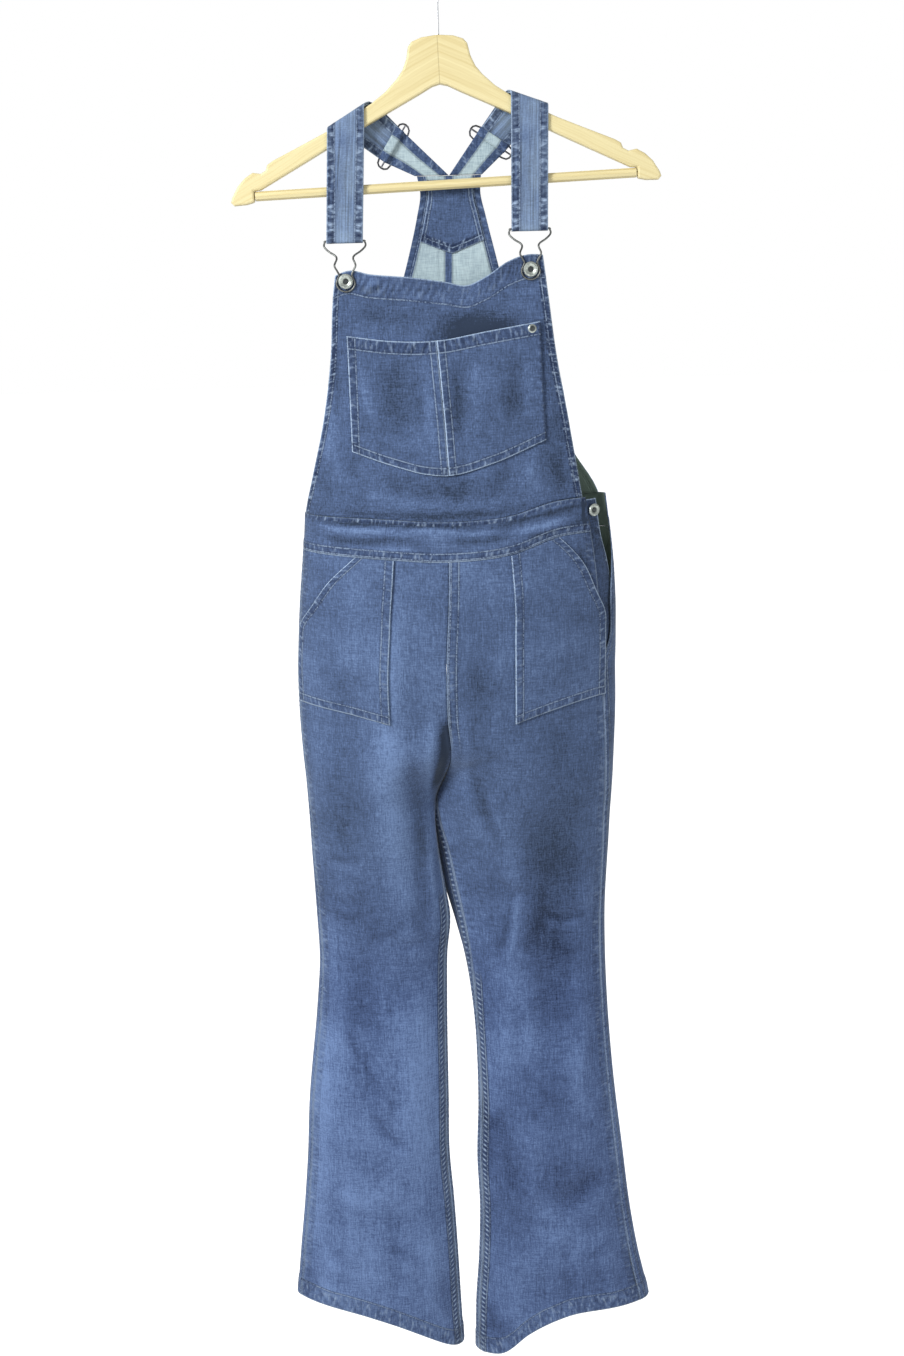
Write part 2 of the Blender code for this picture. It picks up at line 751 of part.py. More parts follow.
def slider_down(strap):
    """The unit direction in which the strap runs on past the slider."""
    turn = strap["slider_turn"]
    return np.array([math.sin(turn), 0, -math.cos(turn)])


def build_strap(side):
    strap = STRAPS[side]
    base_z = strap["top"] - WOOD_EDGE * math.cos(strap["slope"])
    bar_z = strap["bottom"] + CLASP_LOOP + STRAP_CLOTH / 2
    low = bar_z - base_z

    rows = []
    # The tail sewn round the slider's bar, then the inner layer, from the slider to the clasp
    edge = np.array(slider_edges(strap, INNER_LIFT))
    down = slider_down(strap)
    loop = CLASP_LOOP
    for back in (TAIL_LENGTH, 0):
        rows.append(edge - down * back + np.array([0, -2 * loop, 0]))
    for a in np.radians((45, 90, 135)):
        rows.append(edge + down * loop * math.sin(a) + np.array([0, -loop - loop * math.cos(a), 0]))
    rows.append(edge)
    over = [np.array(strap_row(strap, run, INNER_LIFT)) for run in wrap_runs(strap, INNER_LIFT)]
    rows.append(mix(edge, over[-1], 0.5))
    rows.extend(over[::-1])
    rows.append(np.array(strap_row(strap, -14, INNER_LIFT, 0.9)))
    rows.append(np.array(strap_row(strap, low * 0.5, INNER_LIFT, 0.35)))
    rows.append(np.array(strap_row(strap, low + 14, INNER_LIFT, 0)))
    # Round the clasp's bar
    bottom = np.array(strap_row(strap, low, INNER_LIFT, 0))
    bottom[:, 1] = CLASP_Y
    for a in np.radians((0, 45, 90, 135, 180)):
        rows.append(bottom + np.array([0, loop * math.cos(a), -loop * math.sin(a)]))
    # The outer layer, from the clasp over the arm to its root at the back bib
    rows.append(np.array(strap_row(strap, low + 14, OUTER_LIFT, 0)))
    rows.append(np.array(strap_row(strap, low * 0.5, OUTER_LIFT, 0.35)))
    rows.append(np.array(strap_row(strap, -14, OUTER_LIFT, 0.9)))
    over = [np.array(strap_row(strap, run, OUTER_LIFT)) for run in wrap_runs(strap, OUTER_LIFT)]
    rows.extend(over)
    edge = np.array(slider_edges(strap, OUTER_LIFT))
    rows.append(mix(over[-1], edge, 0.5))
    rows.append(edge)
    root_y = WRAP_HALF + OUTER_LIFT + ROOT_STAND_OFF
    root = np.array([(x, root_y, -ROOT_DROP) for x in strap["root"]])
    for t in (0.33, 0.66, 1.0):
        rows.append(mix(edge, root, t))
    points = np.array(rows)
    middle = points.mean(axis=1, keepdims=True)
    points = np.concatenate([points[:, :1], middle, points[:, 1:]], axis=1)
    grid_panel("strap_" + side, points, (0, 0, 0), STRAP_CLOTH, DENIM, offset=0.0)


# The clasp's outline below its top bar: half its width at each drop
CLASP = table(
    ("drop", "half"),
    (0, 17.5),
    (1.2, 20.8),
    (5.5, 21.5),
    (10.5, 16.5),
    (14.5, 10.2),
    (18, 8.6),
    (24.5, 11.0),
    (30, 8.4),
    (34, 6.6),
    (38, 8.2),
    (43, 9.6),
    (48, 7.0),
    (CLASP_LENGTH, 2.4),
)


def clasp_place(side):
    strap = STRAPS[side]
    bar_z = strap["bottom"] + CLASP_LOOP + STRAP_CLOTH / 2
    base_z = strap["top"] - WOOD_EDGE * math.cos(strap["slope"])
    x = strap["x"] + WOOD_EDGE * math.sin(strap["slope"]) + strap["lean"] * (bar_z - base_z)
    return np.array([x, CLASP_Y, bar_z])


def build_clasp(side):
    """A wire bent into a bar, two shoulders, a bulb and the ring round the button."""
    place = clasp_place(side)
    ring = bib_skin(place[0], RING_BELOW - place[2])[1] - 1.5 * CLASP_WIRE - LAID_GAP
    half = [(read(CLASP, "half", drop), drop) for drop in CLASP["drop"]]
    outline = [(x, drop) for x, drop in half] + [(-x, drop) for x, drop in half[::-1]]
    loop = rounded([(x, 0, -drop) for x, drop in outline], 2)
    lean = (ring - CLASP_Y) / CLASP_LEAN
    points = [
        place + np.array([x, np.clip(-z - LEAN_FROM, 0, CLASP_LEAN) * lean, z])
        for x, _, z in loop
    ]
    wire("clasp_" + side, points, CLASP_WIRE, closed=True)

    at = place - np.array([0, 0, BUTTON_BELOW])
    at[1] = bib_skin(at[0], -at[2])[1]
    button("bib_button_" + side, at, (0, -1, 0), BUTTON_RADIUS)


def button(name, place, facing, radius):
    """A shank button: a domed ring with a hollow middle, on a short stem."""
    facing = np.asarray(facing, float) / np.linalg.norm(facing)
    profile = [
        (0, 4.2), (0.26 * radius, 4.2), (0.36 * radius, 3.4), (0.5 * radius, 3.9),
        (0.72 * radius, 4.8), (0.92 * radius, 4.5), (radius, 3.7), (0.96 * radius, 3.0),
        (0.6 * radius, 2.8), (0.5 * radius, LAID_GAP), (0, LAID_GAP),
    ]
    return turned(name, profile, place, facing)


def build_slider(side):
    """A wire frame behind the strap whose ends come forward, with the bar between them."""
    strap = STRAPS[side]
    x, z = strap["slider"]
    across = np.array([math.cos(strap["slider_turn"]), 0, math.sin(strap["slider_turn"])])
    down = slider_down(strap)
    bar_y = WRAP_HALF + INNER_LIFT - CLASP_LOOP
    frame_y = WRAP_HALF + OUTER_LIFT + STRAP_CLOTH / 2 + 1.5 * SEAM_GAP + SLIDER_WIRE
    middle = np.array([x, 0, z])
    corners = []
    for end, depth, y in (
        (-1, -0.8, frame_y), (-0.55, -1, frame_y), (0, -1, frame_y), (0.55, -1, frame_y),
        (1, -0.8, frame_y), (1.12, 0, bar_y), (1, 0.8, frame_y), (0.55, 1, frame_y),
        (0, 1, frame_y), (-0.55, 1, frame_y), (-1, 0.8, frame_y), (-1.12, 0, bar_y),
    ):
        corners.append(
            middle + across * end * SLIDER_REACH + down * depth * SLIDER_DEPTH
            + np.array([0, y, 0])
        )
    wire("slider_frame_" + side, rounded(corners, 2), SLIDER_WIRE, closed=True)
    reach = 1.12 * SLIDER_REACH - SLIDER_WIRE - SEAM_GAP
    centre = middle + np.array([0, bar_y, 0])
    wire("slider_bar_" + side, [centre - across * reach, centre + across * reach], SLIDER_WIRE)


BIB_POCKET_TOP = table(
    ("x", "drop"), (-105, 377), (-60, 383), (-11, 384), (40, 376), (98, 367)
)
BIB_POCKET_LOW = table(
    ("x", "drop"), (-105, 497), (-66, 511), (-1.5, 524), (50, 511), (103, 490)
)


def build_bib():
    rows = [walk(bib_row(v, 121), 17) for v in np.linspace(0, 1, 15)]
    grid_panel("front_bib", rows, (0, -1, 0), CLOTH, DENIM)

    out = CLOTH + POCKET_GAP
    for side in SIDE_SIGN:
        gap = SIDE_SIGN[side] * SEAM_GAP / 2
        f = np.linspace(0, 1, 9)
        x_top, x_low = (
            mix(corner, seam + gap, f) for corner, seam in zip(POCKET_SIDE[side], POCKET_SEAM)
        )
        top = read(BIB_POCKET_TOP, "drop", x_top, "x")
        low = read(BIB_POCKET_LOW, "drop", x_low, "x")
        rows = [bib_skin(mix(x_top, x_low, v), mix(top, low, v)) for v in np.linspace(0, 1, 9)]
        points = moved_out(np.array(rows), out, (0, -1, 0))
        grid_panel("bib_pocket_" + side, points, (0, -1, 0), CLOTH, DENIM)

    corner = bib_skin(*RIVET_PLACE)
    dome = [(0, 2.1), (0.45 * RIVET_RADIUS, 1.9), (0.8 * RIVET_RADIUS, 1.3),
            (RIVET_RADIUS, 0.7), (RIVET_RADIUS, SEAM_GAP), (0, SEAM_GAP)]
    lift = np.array([0, -(out + 0.2), 0])
    turned("bib_pocket_rivet", dome, corner + lift, (0.1, -1, 0.05), steps=16)


def build_waistbands():
    for face in ("front", "back"):
        rows = [walk(waist_row(face, v), 22) for v in np.linspace(0, 1, 3)]
        grid_panel(face + "_waistband", rows, (0, FACE_SIGN[face], 0), CLOTH, DENIM)


# The rows of a leg panel, as parts of the way to the crotch and then to the hem. The cloth is
# double from the last but one.
ABOVE_CROTCH = (0, 0.13, 0.27, 0.41, 0.55, 0.67, 0.76, 0.84, 0.92, 1)
BELOW_CROTCH = (0.04, 0.09, 0.16, 0.24, 0.33, 0.42, 0.52, 0.62, 0.72, 0.82, 0.91, 0.966, 0.968, 1)


def build_legs():
    steps = [(above, 0) for above in ABOVE_CROTCH] + [(1, below) for below in BELOW_CROTCH]
    for side in SIDE_SIGN:
        for face in FACE_SIGN:
            rows = [walk(leg_row(side, face, *step), 15, LEG_TRIM) for step in steps]
            grid_panel(f"{face}_leg_{side}", rows, (0, FACE_SIGN[face], 0), CLOTH, DENIM,
                       hem_from=len(steps) - 2)


# Hip pockets: how far the pocket's edge by the leg's outseam and its inner edge lie from the
# outer silhouette, at each part of its height
HIP_POCKET = table(
    ("part", "outer", "inner"),
    (0, 60, 103),
    (0.17, 34, 104),
    (0.34, 17, 104.5),
    (0.48, 4.5, 105),
    (0.6, 3.5, 105),
    (1, 4, 106),
)
HIP_POCKET_ROWS = (0, 0.06, 0.12, 0.18, 0.24, 0.3, 0.36, 0.42, 0.48, 0.6, 0.73, 0.86, 1)
HIP_POCKET_BOTTOM = {"left": (779, 797), "right": (777, 801)}
HIP_POCKET_SHIFT = {"left": 0, "right": 12}  # inwards
WAIST_REACH = 178  # half the width at the waist seam


def build_hip_pockets():
    for side in SIDE_SIGN:
        low_outer, low_inner = HIP_POCKET_BOTTOM[side]
        extra = HIP_POCKET_SHIFT[side]
        rows = []
        f = np.linspace(0, 1, 61)
        for part in HIP_POCKET_ROWS:
            outer = read(HIP_POCKET, "outer", part, "part") + extra * ease(part / 0.5)
            inner = read(HIP_POCKET, "inner", part, "part") + extra
            top_x = SIDE_SIGN[side] * (WAIST_REACH - mix(outer, inner, f))
            top = read(WAIST["front"], "seam", top_x, "x") + 2 * WAIST_GAP
            drop = mix(top, mix(low_outer, low_inner, f**2), part)
            turn = mix(turn_at(side, outer, drop), turn_at(side, inner, drop), f)
            rows.append(walk(section(side, "front", turn, drop), 9, 0))
        points = moved_out(np.array(rows), CLOTH + POCKET_GAP, (0, -1, 0))
        grid_panel("hip_pocket_" + side, points, (0, -1, 0), CLOTH, DENIM)


# The facing inside the back bib: its top, the ends and the middle of its lower seam, its margin
FACING_TOP = 222
FACING_LOW = 292
FACING_DIP = 6
FACING_INSET = 8


def build_back_bib():
    for side in SIDE_SIGN:
        rows = [walk(back_bib_row(side, v), 8) for v in np.linspace(0, 1, 14)]
        grid_panel("back_bib_" + side, rows, (0, 1, 0), CLOTH, DENIM)
    rows = []
    for v in np.linspace(0, 1, 6):
        f = np.linspace(0, 1, 9)
        drop = mix(FACING_TOP, FACING_LOW + FACING_DIP * (1 - abs(2 * f - 1)), v)
        left = read(BACK_BIB, "left", drop) + FACING_INSET
        right = read(BACK_BIB, "right", drop) - FACING_INSET
        rows.append(back_bib_skin(mix(left, right, f), drop))
    points = moved_out(np.array(rows), -(CLOTH + SEAM_GAP), (0, 1, 0))
    grid_panel("back_facing", points, (0, 1, 0), CLOTH, DENIM_DARK)


# The side placket: how far its covered edge and its free edge lie inside the silhouette
PLACKET = table(
    ("drop", "under", "free"),
    (556, 30, 12),
    (600, 27, 12),
    (650, 26, 7),
    (700, 25, 6),
    (732, 23, 6),
)


PLACKET_BUTTON = (17, 568)  # inside the silhouette, drop
PLACKET_BUTTON_DEPTH = 3.1  # from the garment's skin in to the button's foot


def build_placket():
    rows = []
    f = np.linspace(0, 1, 8)
    for drop in np.linspace(PLACKET["drop"][0], PLACKET["drop"][-1], 9):
        under, free = read(PLACKET, "under", drop), read(PLACKET, "free", drop)
        turn = mix(turn_at("right", under, drop), turn_at("right", free, drop), f)
        rows.append(section("right", "front", turn, np.full(8, drop)))
    depth = CLOTH + mix(PLACKET_GAP, 2.5 * PLACKET_GAP, f)[None, :, None]
    points = moved_out(np.array(rows), -depth, (1, -1, 0))
    grid_panel("side_placket", points, (1, -1, 0), CLOTH, DENIM)
    inset, drop = PLACKET_BUTTON
    turn = turn_at("right", inset, drop)
    place = section("right", "front", turn, drop)
    ahead = section("right", "front", turn + 0.05, drop) - place
    facing = np.array([-ahead[1], ahead[0], 0])
    facing *= -np.sign(facing[1])
    facing /= np.linalg.norm(facing)
    place = place - facing * PLACKET_BUTTON_DEPTH
    button("placket_button", place, facing, PLACKET_BUTTON_RADIUS)


for old in list(bpy.data.objects):
    bpy.data.objects.remove(old, do_unlink=True)
garment = bpy.data.collections.new("denim dungarees on a hanger")
bpy.context.scene.collection.children.link(garment)

build_hanger()
for strap_side in SIDE_SIGN:
    build_strap(strap_side)
    build_clasp(strap_side)
    build_slider(strap_side)
build_bib()
build_waistbands()
build_legs()
build_hip_pockets()
build_back_bib()
build_placket()
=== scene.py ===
import math

import bpy
import numpy as np
from mathutils import Matrix, Vector


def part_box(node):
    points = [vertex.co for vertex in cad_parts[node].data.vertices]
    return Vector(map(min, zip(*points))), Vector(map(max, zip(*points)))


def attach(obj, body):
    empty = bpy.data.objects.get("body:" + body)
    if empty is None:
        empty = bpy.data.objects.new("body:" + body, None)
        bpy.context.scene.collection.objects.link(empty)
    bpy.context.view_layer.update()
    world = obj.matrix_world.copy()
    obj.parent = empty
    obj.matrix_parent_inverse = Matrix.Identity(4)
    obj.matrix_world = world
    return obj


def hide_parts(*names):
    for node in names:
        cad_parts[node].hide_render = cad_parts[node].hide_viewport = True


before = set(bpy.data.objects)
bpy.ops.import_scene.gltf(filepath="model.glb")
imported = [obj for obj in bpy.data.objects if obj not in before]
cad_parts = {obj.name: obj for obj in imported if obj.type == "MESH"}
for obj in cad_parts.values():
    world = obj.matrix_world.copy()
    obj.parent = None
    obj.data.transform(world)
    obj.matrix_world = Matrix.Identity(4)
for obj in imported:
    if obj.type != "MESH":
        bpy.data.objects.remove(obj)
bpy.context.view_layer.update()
mm = 0.001
wholeWave = 6.283

# Denim bib dungarees with flared legs, hung over the arms of a flat wooden hanger.
# Sizes are in millimetres until a mesh is made. A drop is the depth below the hook's inside top.

sideSign = {"left": -1, "right": 1}
faceSign = {"front": -1, "back": 1}
cloth = {
    "wall": 1.3,
    "seamGap": 0.15,  # taken off each edge of a panel
    "waistGap": 0.3,
    "backOverlap": 0.3,  # of the back bib over the waistband's top edge
    "feltRise": 0.5,  # of the doubled band along a felled seam
    "feltSlope": 2.4,  # over which the band comes up
    "ropePitch": 8.0,  # from one pucker of a washed seam to the next
    "ropeRise": 0.2,
    "ropeReach": 7,
    "ropeWander": (0.9, 60, 0.06),  # how far its pitch drifts, over what length, and its slant
    "ropeStrength": (0.55, 0.45, 90),
    "slowWave": (0.35, 170, 0.3, 210),  # slant and length down and across the hanging cloth
    "foldShading": {"large": 0.05, "folds": 0.14, "slow": 0.1},  # painted highlight on ridges, painted shade in troughs
    "seams": {"felled": (1.0, 1.0), "under": (0.0, 0.6), "hem": (1.4, 1.6)},  # each one's rise and puckers
    "calm": 25,  # no slow wave within this of an edge
    "edgeCalm": 6,  # and no fold at the very edge
    "legRows": 420,
    "legColumns": 60,
}


def table(columns, *rows):
    return dict(zip(columns.split(), np.array(rows, float).T))


def read(rows, column, at):
    # A smooth curve through the rows of a table, by its first column
    places, values = next(iter(rows.values())), rows[column]
    slopes = np.gradient(values, places)
    at = np.clip(np.asarray(at, float), places[0], places[-1])
    i = np.clip(np.searchsorted(places, at, side="right") - 1, 0, len(places) - 2)
    span = places[i + 1] - places[i]
    t = (at - places[i]) / span
    start = (1 + 2 * t) * (1 - t) ** 2 * values[i] + t * (1 - t) ** 2 * span * slopes[i]
    return start + t * t * (3 - 2 * t) * values[i + 1] + t * t * (t - 1) * span * slopes[i + 1]


def ease(t):
    t = np.clip(t, 0, 1)
    return t * t * (3 - 2 * t)


def mix(a, b, t):
    return a + (b - a) * t


def bump(value, centre, width):
    return np.exp(-(((value - centre) / width) ** 2))


def wander(at, seed, pitch):
    # A slow uneven wave between -1 and 1 along a line
    shift = np.random.default_rng(seed)
    found = np.zeros(np.shape(at))
    for k in range(5):
        turn = at / pitch * (0.6 + 0.37 * k) * wholeWave + shift.uniform(0, wholeWave)
        found = found + np.sin(turn) / (1.3 + k)
    return found / 1.6


# Outline and depth of the garment, the same as its solids have

bib = table(
    "drop left right leftReach rightReach",
    (290, -111, 101, -124, 114), (345, -119.5, 108.5, -130, 122), (395, -123.5, 115, -136, 132),
    (470, -136, 128.5, -145, 149), (525, -150, 138, -155, 164), (560, -159, 144, -161, 172),
    (615, -166, 155, -167, 178),
)
bibTop = table(
    "x drop",
    (-118, 316), (-105, 311), (-80, 315), (-40, 319), (0, 325), (20, 329), (42, 320), (65, 306), (90, 299),
    (106, 300),
)
bibHollow = {"x": 26, "drop": 326, "half": 40, "height": 26, "depth": 11}
waist = {
    "front": table(
        "x top seam",
        (-170, 566, 606), (-80, 568, 611), (-5, 572, 615), (65, 568, 609), (118, 555, 593), (150, 553, 591),
        (182, 553, 591),
    ),
    "back": table(
        "x top seam",
        (-170, 566, 606), (-80, 569, 610), (0, 569, 610), (90, 561, 600), (182, 553, 591),
    ),
}
backBib = table(
    "drop left right leftReach rightReach",
    (218, -27, 40, -48, 62), (235, -24, 39, -46, 62), (258, -28, 44, -50, 68), (290, -36, 52, -62, 78),
    (321, -45, 60, -76, 90), (380, -66, 79, -100, 112), (440, -92, 105, -126, 138),
    (511, -128, 138, -148, 160), (545, -148, 160, -157, 169), (575, -159, 171, -162, 173),
)
backCentre = (-4, 6.5)
crotchDrop = 903
closeStart = 800
body = table(
    "drop left right centre front back leftLap rightLap openLap",
    (545, -160, 170, -4, 53, 42, 1.5, 27, 0.2), (610, -166, 178, -4, 58, 50, 1.5, 23, 0.6),
    (670, -173, 183, -6, 64, 58, 2.0, 22, 8.0), (715, -177, 183, -9, 65, 61, 2.0, 21, 9.0),
    (742, -179, 183, -10, 64, 63, 2.0, 19, 19), (790, -180, 183.5, -10, 60, 64, 2.0, 16, 16),
    (850, -178.5, 182, -8, 55, 62, 2.5, 12, 12), (880, -177, 181, -16, 52, 60, 3.0, 11, 11),
    (crotchDrop, -176.5, 180, -25, 50, 58, 3.5, 10, 10),
)
legColumns = "drop outer inner front back lap innerLap sway"
legs = {
    "left": table(
        legColumns,
        (928, -176, -28.3, 47, 54, 4, 0.5, -8), (965, -175.5, -26, 44, 50, 4, 0.5, -9),
        (1025, -174.5, -17.5, 41, 45, 5, 2, -9), (1052, -174, -14, 39, 42, 5, 3, -7),
        (1110, -173.5, -18.5, 36, 38, 5, 3, 0), (1175, -180, -20.5, 34, 36, 6, 3, 0),
        (1310, -197, -22, 33, 32, 6, 3, 0), (1385, -203, -23, 32, 30, 6, 3, 0),
        (1460, -211, -19, 32, 30, 6, 3, 0), (1535, -220.5, -16, 33, 31, 6, 3, 0),
        (1600, -228, -14, 34, 32, 6, 3, 0), (1690, -236, -11, 36, 33, 6, 3, 0),
    ),
    "right": table(
        legColumns,
        (928, 178.5, -31, 47, 54, 10, 8, 8), (965, 177, -27.5, 44, 50, 9, 14, 9),
        (1025, 174, -19, 41, 45, 8, 17, 9), (1052, 173, -12, 39, 42, 8, 15, 7),
        (1110, 173.5, 2, 36, 38, 8, 9, 0), (1175, 176.5, 11, 34, 36, 8, 4, 0),
        (1320, 189, 15, 33, 32, 9, 4, 0), (1395, 198, 12.5, 32, 30, 10, 4, 0),
        (1470, 207, 14.5, 32, 30, 11, 4, 0), (1545, 219.5, 12, 33, 31, 12, 4, 0),
        (1614, 234, 7, 34, 32, 13, 4, 0), (1690, 243, 5, 36, 33, 13, 4, 0),
    ),
}
hems = {
    "left": table("x drop", (-236, 1594), (-140, 1615), (-85, 1635), (-45, 1656), (-10, 1680)),
    "right": table("x drop", (8, 1689), (30, 1684), (75, 1650), (143, 1621), (242, 1612)),
}
largeFolds = {  # each from x and drop to x and drop, with its half width and its depth
    "front": [
        (-117, 690, -136, 950, 20, -3.0), (-80, 660, -66, 1010, 26, 3.5), (-57, 830, -42, 1040, 14, -3.2),
        (-120, 1050, -116, 1330, 18, -3.5), (-56, 1120, -64, 1430, 24, 2.5),
        (-174, 1240, -182, 1470, 18, 2.0), (-26, 790, -33, 890, 12, 3.0), (-6, 760, -16, 890, 11, -4.0),
        (35, 905, 64, 1020, 16, 3.0), (64, 990, 42, 1280, 18, 3.2), (118, 760, 104, 1300, 30, -4.5),
        (36, 1310, 60, 1440, 17, -2.5), (108, 1462, 174, 1402, 17, -2.5),
    ],
    "back": [
        (-40, 872, -128, 912, 17, -3.5), (36, 876, 130, 922, 18, -3.5), (-112, 690, -120, 860, 24, 2.5),
        (98, 700, 112, 850, 22, 2.5), (-108, 1050, -114, 1340, 22, 3.0), (96, 1060, 112, 1360, 24, 3.0),
        (-60, 1130, -66, 1420, 17, -2.5), (52, 1150, 60, 1440, 18, -2.5),
    ],
    "bib": [
        (-60, 398, -40, 495, 15, -2.2), (22, 388, 8, 492, 16, -2.6), (64, 398, 32, 520, 15, 2.2),
        (-12, 380, -8, 510, 11, 2.0), (-98, 505, -72, 562, 13, 1.8), (-40, 515, -16, 565, 14, -1.8),
        (48, 510, 18, 565, 14, 1.8),
    ],
}
legFoldsFrom, legFoldsFade = 625, 60  # no leg fold reaches the waistband above
bibFoldsTo, bibFoldsFade = 560, 25  # or a bib fold the one below
domeFrom = 545  # above this drop both bibs flatten out
bibShape = {
    "low": 572, "top": 315, "lean": 13, "topDome": 7, "curve": 0.8, "topX": (-117, 104), "lowX": (-160, 145),
}
backShape = {"lean": 8.2, "topDome": 3, "curve": 0.7}
bandTurns = {"left": (590, 0), "right": (572, 20)}  # the drops that a waistband's end follows


def legTable(side):
    # One table from the waist to the hem: the body's rows, then the leg's own
    count = len(body["drop"])
    columns = {
        "drop": body["drop"],
        "outer": body[side],
        "inner": body["centre"] + sideSign[side] * cloth["seamGap"],
        "front": body["front"],
        "back": body["back"],
        "lap": body[side + "Lap"],
        "innerLap": np.zeros(count),
        "sway": np.zeros(count),
    }
    joined = {name: np.append(values, legs[side][name]) for name, values in columns.items()}
    own = body["openLap" if side == "right" else "leftLap"]
    joined["backLap"] = np.append(own, legs[side]["lap"])
    return joined


garment = {side: legTable(side) for side in sideSign}


def closing(drop):
    # 0 where the body is one tube, 1 where each leg is a tube of its own
    return ease((np.asarray(drop, float) - closeStart) / (crotchDrop - closeStart))


def turnAt(side, inset, drop):
    rows = garment[side]
    whole = 1 - np.cos(math.pi / 2 * (1 + closing(drop)))
    width = np.abs(read(rows, "inner", drop) - read(rows, "outer", drop))
    return np.arccos(np.clip(1 - inset / width * whole, -1, 1))


def foldsAt(place, x, drop):
    # How far the large folds of the front, back or bib stand out
    found = 0
    for x1, drop1, x2, drop2, width, depth in largeFolds[place]:
        runX, runDrop = x2 - x1, drop2 - drop1
        part = np.clip(((x - x1) * runX + (drop - drop1) * runDrop) / (runX**2 + runDrop**2), 0, 1)
        away = (x - x1 - part * runX) ** 2 + (drop - drop1 - part * runDrop) ** 2
        found = found + depth * ease(4 * part) * ease(4 - 4 * part) * np.exp(-away / width**2)
    return found


def section(side, face, turn, drop):
    # A point of the outer skin: the turn is 0 at the silhouette and grows inwards
    rows = garment[side]
    outer, inner = read(rows, "outer", drop), read(rows, "inner", drop)
    whole = 1 - np.cos(math.pi / 2 * (1 + closing(drop)))
    part = (1 - np.cos(turn)) / whole
    other = "back" if face == "front" else "front"
    rise = np.sin(turn)
    depth = np.where(rise > 0, read(rows, face, drop), read(rows, other, drop))
    x = outer + (inner - outer) * part
    fold = foldsAt(face, x, drop) * ease((drop - legFoldsFrom) / legFoldsFade)
    y = faceSign[face] * (depth * rise + fold * rise**2) + read(rows, "sway", drop) * part**3
    return np.stack([x, y, -np.asarray(drop, float)], axis=-1)


def waistDrop(side, face, turn, edge):
    rows = garment[side]
    x = rows["inner"][1] + (rows["outer"][1] - rows["inner"][1]) * np.cos(turn)
    return read(waist[face], edge, x)


def spreadTurns(side, face, drop, f, end):
    lap = read(garment[side], "lap", drop)
    if face == "back":
        lap = np.clip(read(garment[side], "backLap", drop), 0, lap)
    start = turnAt(side, lap, drop) * (1 if face == "front" else -1)
    return mix(start, end, f)


def legRow(side, face, above, below, samples=181):
    f = np.linspace(0, 1, samples)
    rows = garment[side]
    topTurn = spreadTurns(side, face, rows["drop"][1], f, math.pi / 2)
    top = waistDrop(side, face, np.abs(topTurn), "seam") + cloth["waistGap"]
    hemX = mix(rows["outer"][-1], rows["inner"][-1], (1 - np.cos(f * math.pi)) / 2)
    drop = mix(mix(top, crotchDrop, above), read(hems[side], "drop", hemX), below)
    end = math.pi / 2 * (1 + closing(drop))
    width = np.abs(read(rows, "inner", drop) - read(rows, "outer", drop))
    innerLap = np.maximum(read(rows, "innerLap", drop), 0)
    slip = np.arccos(1 - 2 * innerLap / width) * closing(drop) ** 8
    end = end - slip if face == "front" else end + slip
    turn = spreadTurns(side, face, drop, f, end)
    if above == 0:
        drop = waistDrop(side, face, np.abs(turn), "seam") + cloth["waistGap"]
    return section(side, face, turn, drop)


def waistRow(face, v, samples=181):
    f = np.linspace(0, 1, samples)
    halves = []
    for side, (first, run) in bandTurns.items():
        turn = spreadTurns(side, face, first + run * v, f, math.pi / 2)
        edges = [waistDrop(side, face, np.abs(turn), edge) for edge in ("top", "seam")]
        half = section(side, face, turn, mix(*edges, v))
        halves.append(half if side == "left" else half[::-1])
    return np.concatenate([halves[0][:-1], halves[1][1:]])


def domed(face, rows, shape, x, drop, up, centre):
    # How far a bib stands out: flat at its top, round as the body at its foot
    reach = np.where(x < centre, read(rows, "leftReach", drop), read(rows, "rightReach", drop))
    across = np.clip((x - centre) / (reach - centre), -1, 1)
    dome = mix(read(body, face, np.maximum(drop, domeFrom)), shape["topDome"], up ** shape["curve"])
    return shape["lean"] * up + dome * np.sqrt(1 - across**2)


def pointsAt(x, y, drop):
    return np.stack(np.broadcast_arrays(x, y, -np.asarray(drop, float)), axis=-1)


def bibSkin(x, drop):
    shape = bibShape
    up = np.clip((shape["low"] - drop) / (shape["low"] - shape["top"]), 0, 1.1)
    hollowX = (x - bibHollow["x"]) / bibHollow["half"]
    hollowDrop = (drop - bibHollow["drop"]) / bibHollow["height"]
    slack = bibHollow["depth"] * np.exp(-(hollowX**2) - hollowDrop**2)
    fold = foldsAt("bib", x, drop) * ease((bibFoldsTo - drop) / bibFoldsFade)
    out = domed("front", bib, shape, x, drop, up, read(body, "centre", drop))
    return pointsAt(x, -(out + fold) + slack, drop)


def bibRow(v, samples=121):
    f = np.linspace(0, 1, samples)
    top = read(bibTop, "drop", mix(*bibShape["topX"], f))
    low = read(waist["front"], "top", mix(*bibShape["lowX"], f)) - cloth["waistGap"]
    drop = mix(top, low, v)
    x = mix(read(bib, "left", drop), read(bib, "right", drop), f)
    if v == 1:
        drop = read(waist["front"], "top", x) - cloth["waistGap"]
    return bibSkin(x, drop)


def backUp(drop):
    low = backBib["drop"][-1]
    return np.clip((low - drop) / (low - backBib["drop"][0]), 0, 1)


def backBibSkin(x, drop):
    up = backUp(drop)
    return pointsAt(x, domed("back", backBib, backShape, x, drop, up, mix(*backCentre, up)), drop)


def backBibRow(side, v, samples=61):
    f = np.linspace(0, 1, samples)
    low = read(waist["back"], "top", mix(backBib[side][-1], backCentre[0], f)) + cloth["backOverlap"]
    drop = mix(backBib["drop"][0] + cloth["waistGap"], low, v)
    centre = mix(*backCentre, backUp(drop))
    x = mix(read(backBib, side, drop), centre, f)
    if v == 1:
        drop = read(waist["back"], "top", x) + cloth["backOverlap"]
    return backBibSkin(x, drop)


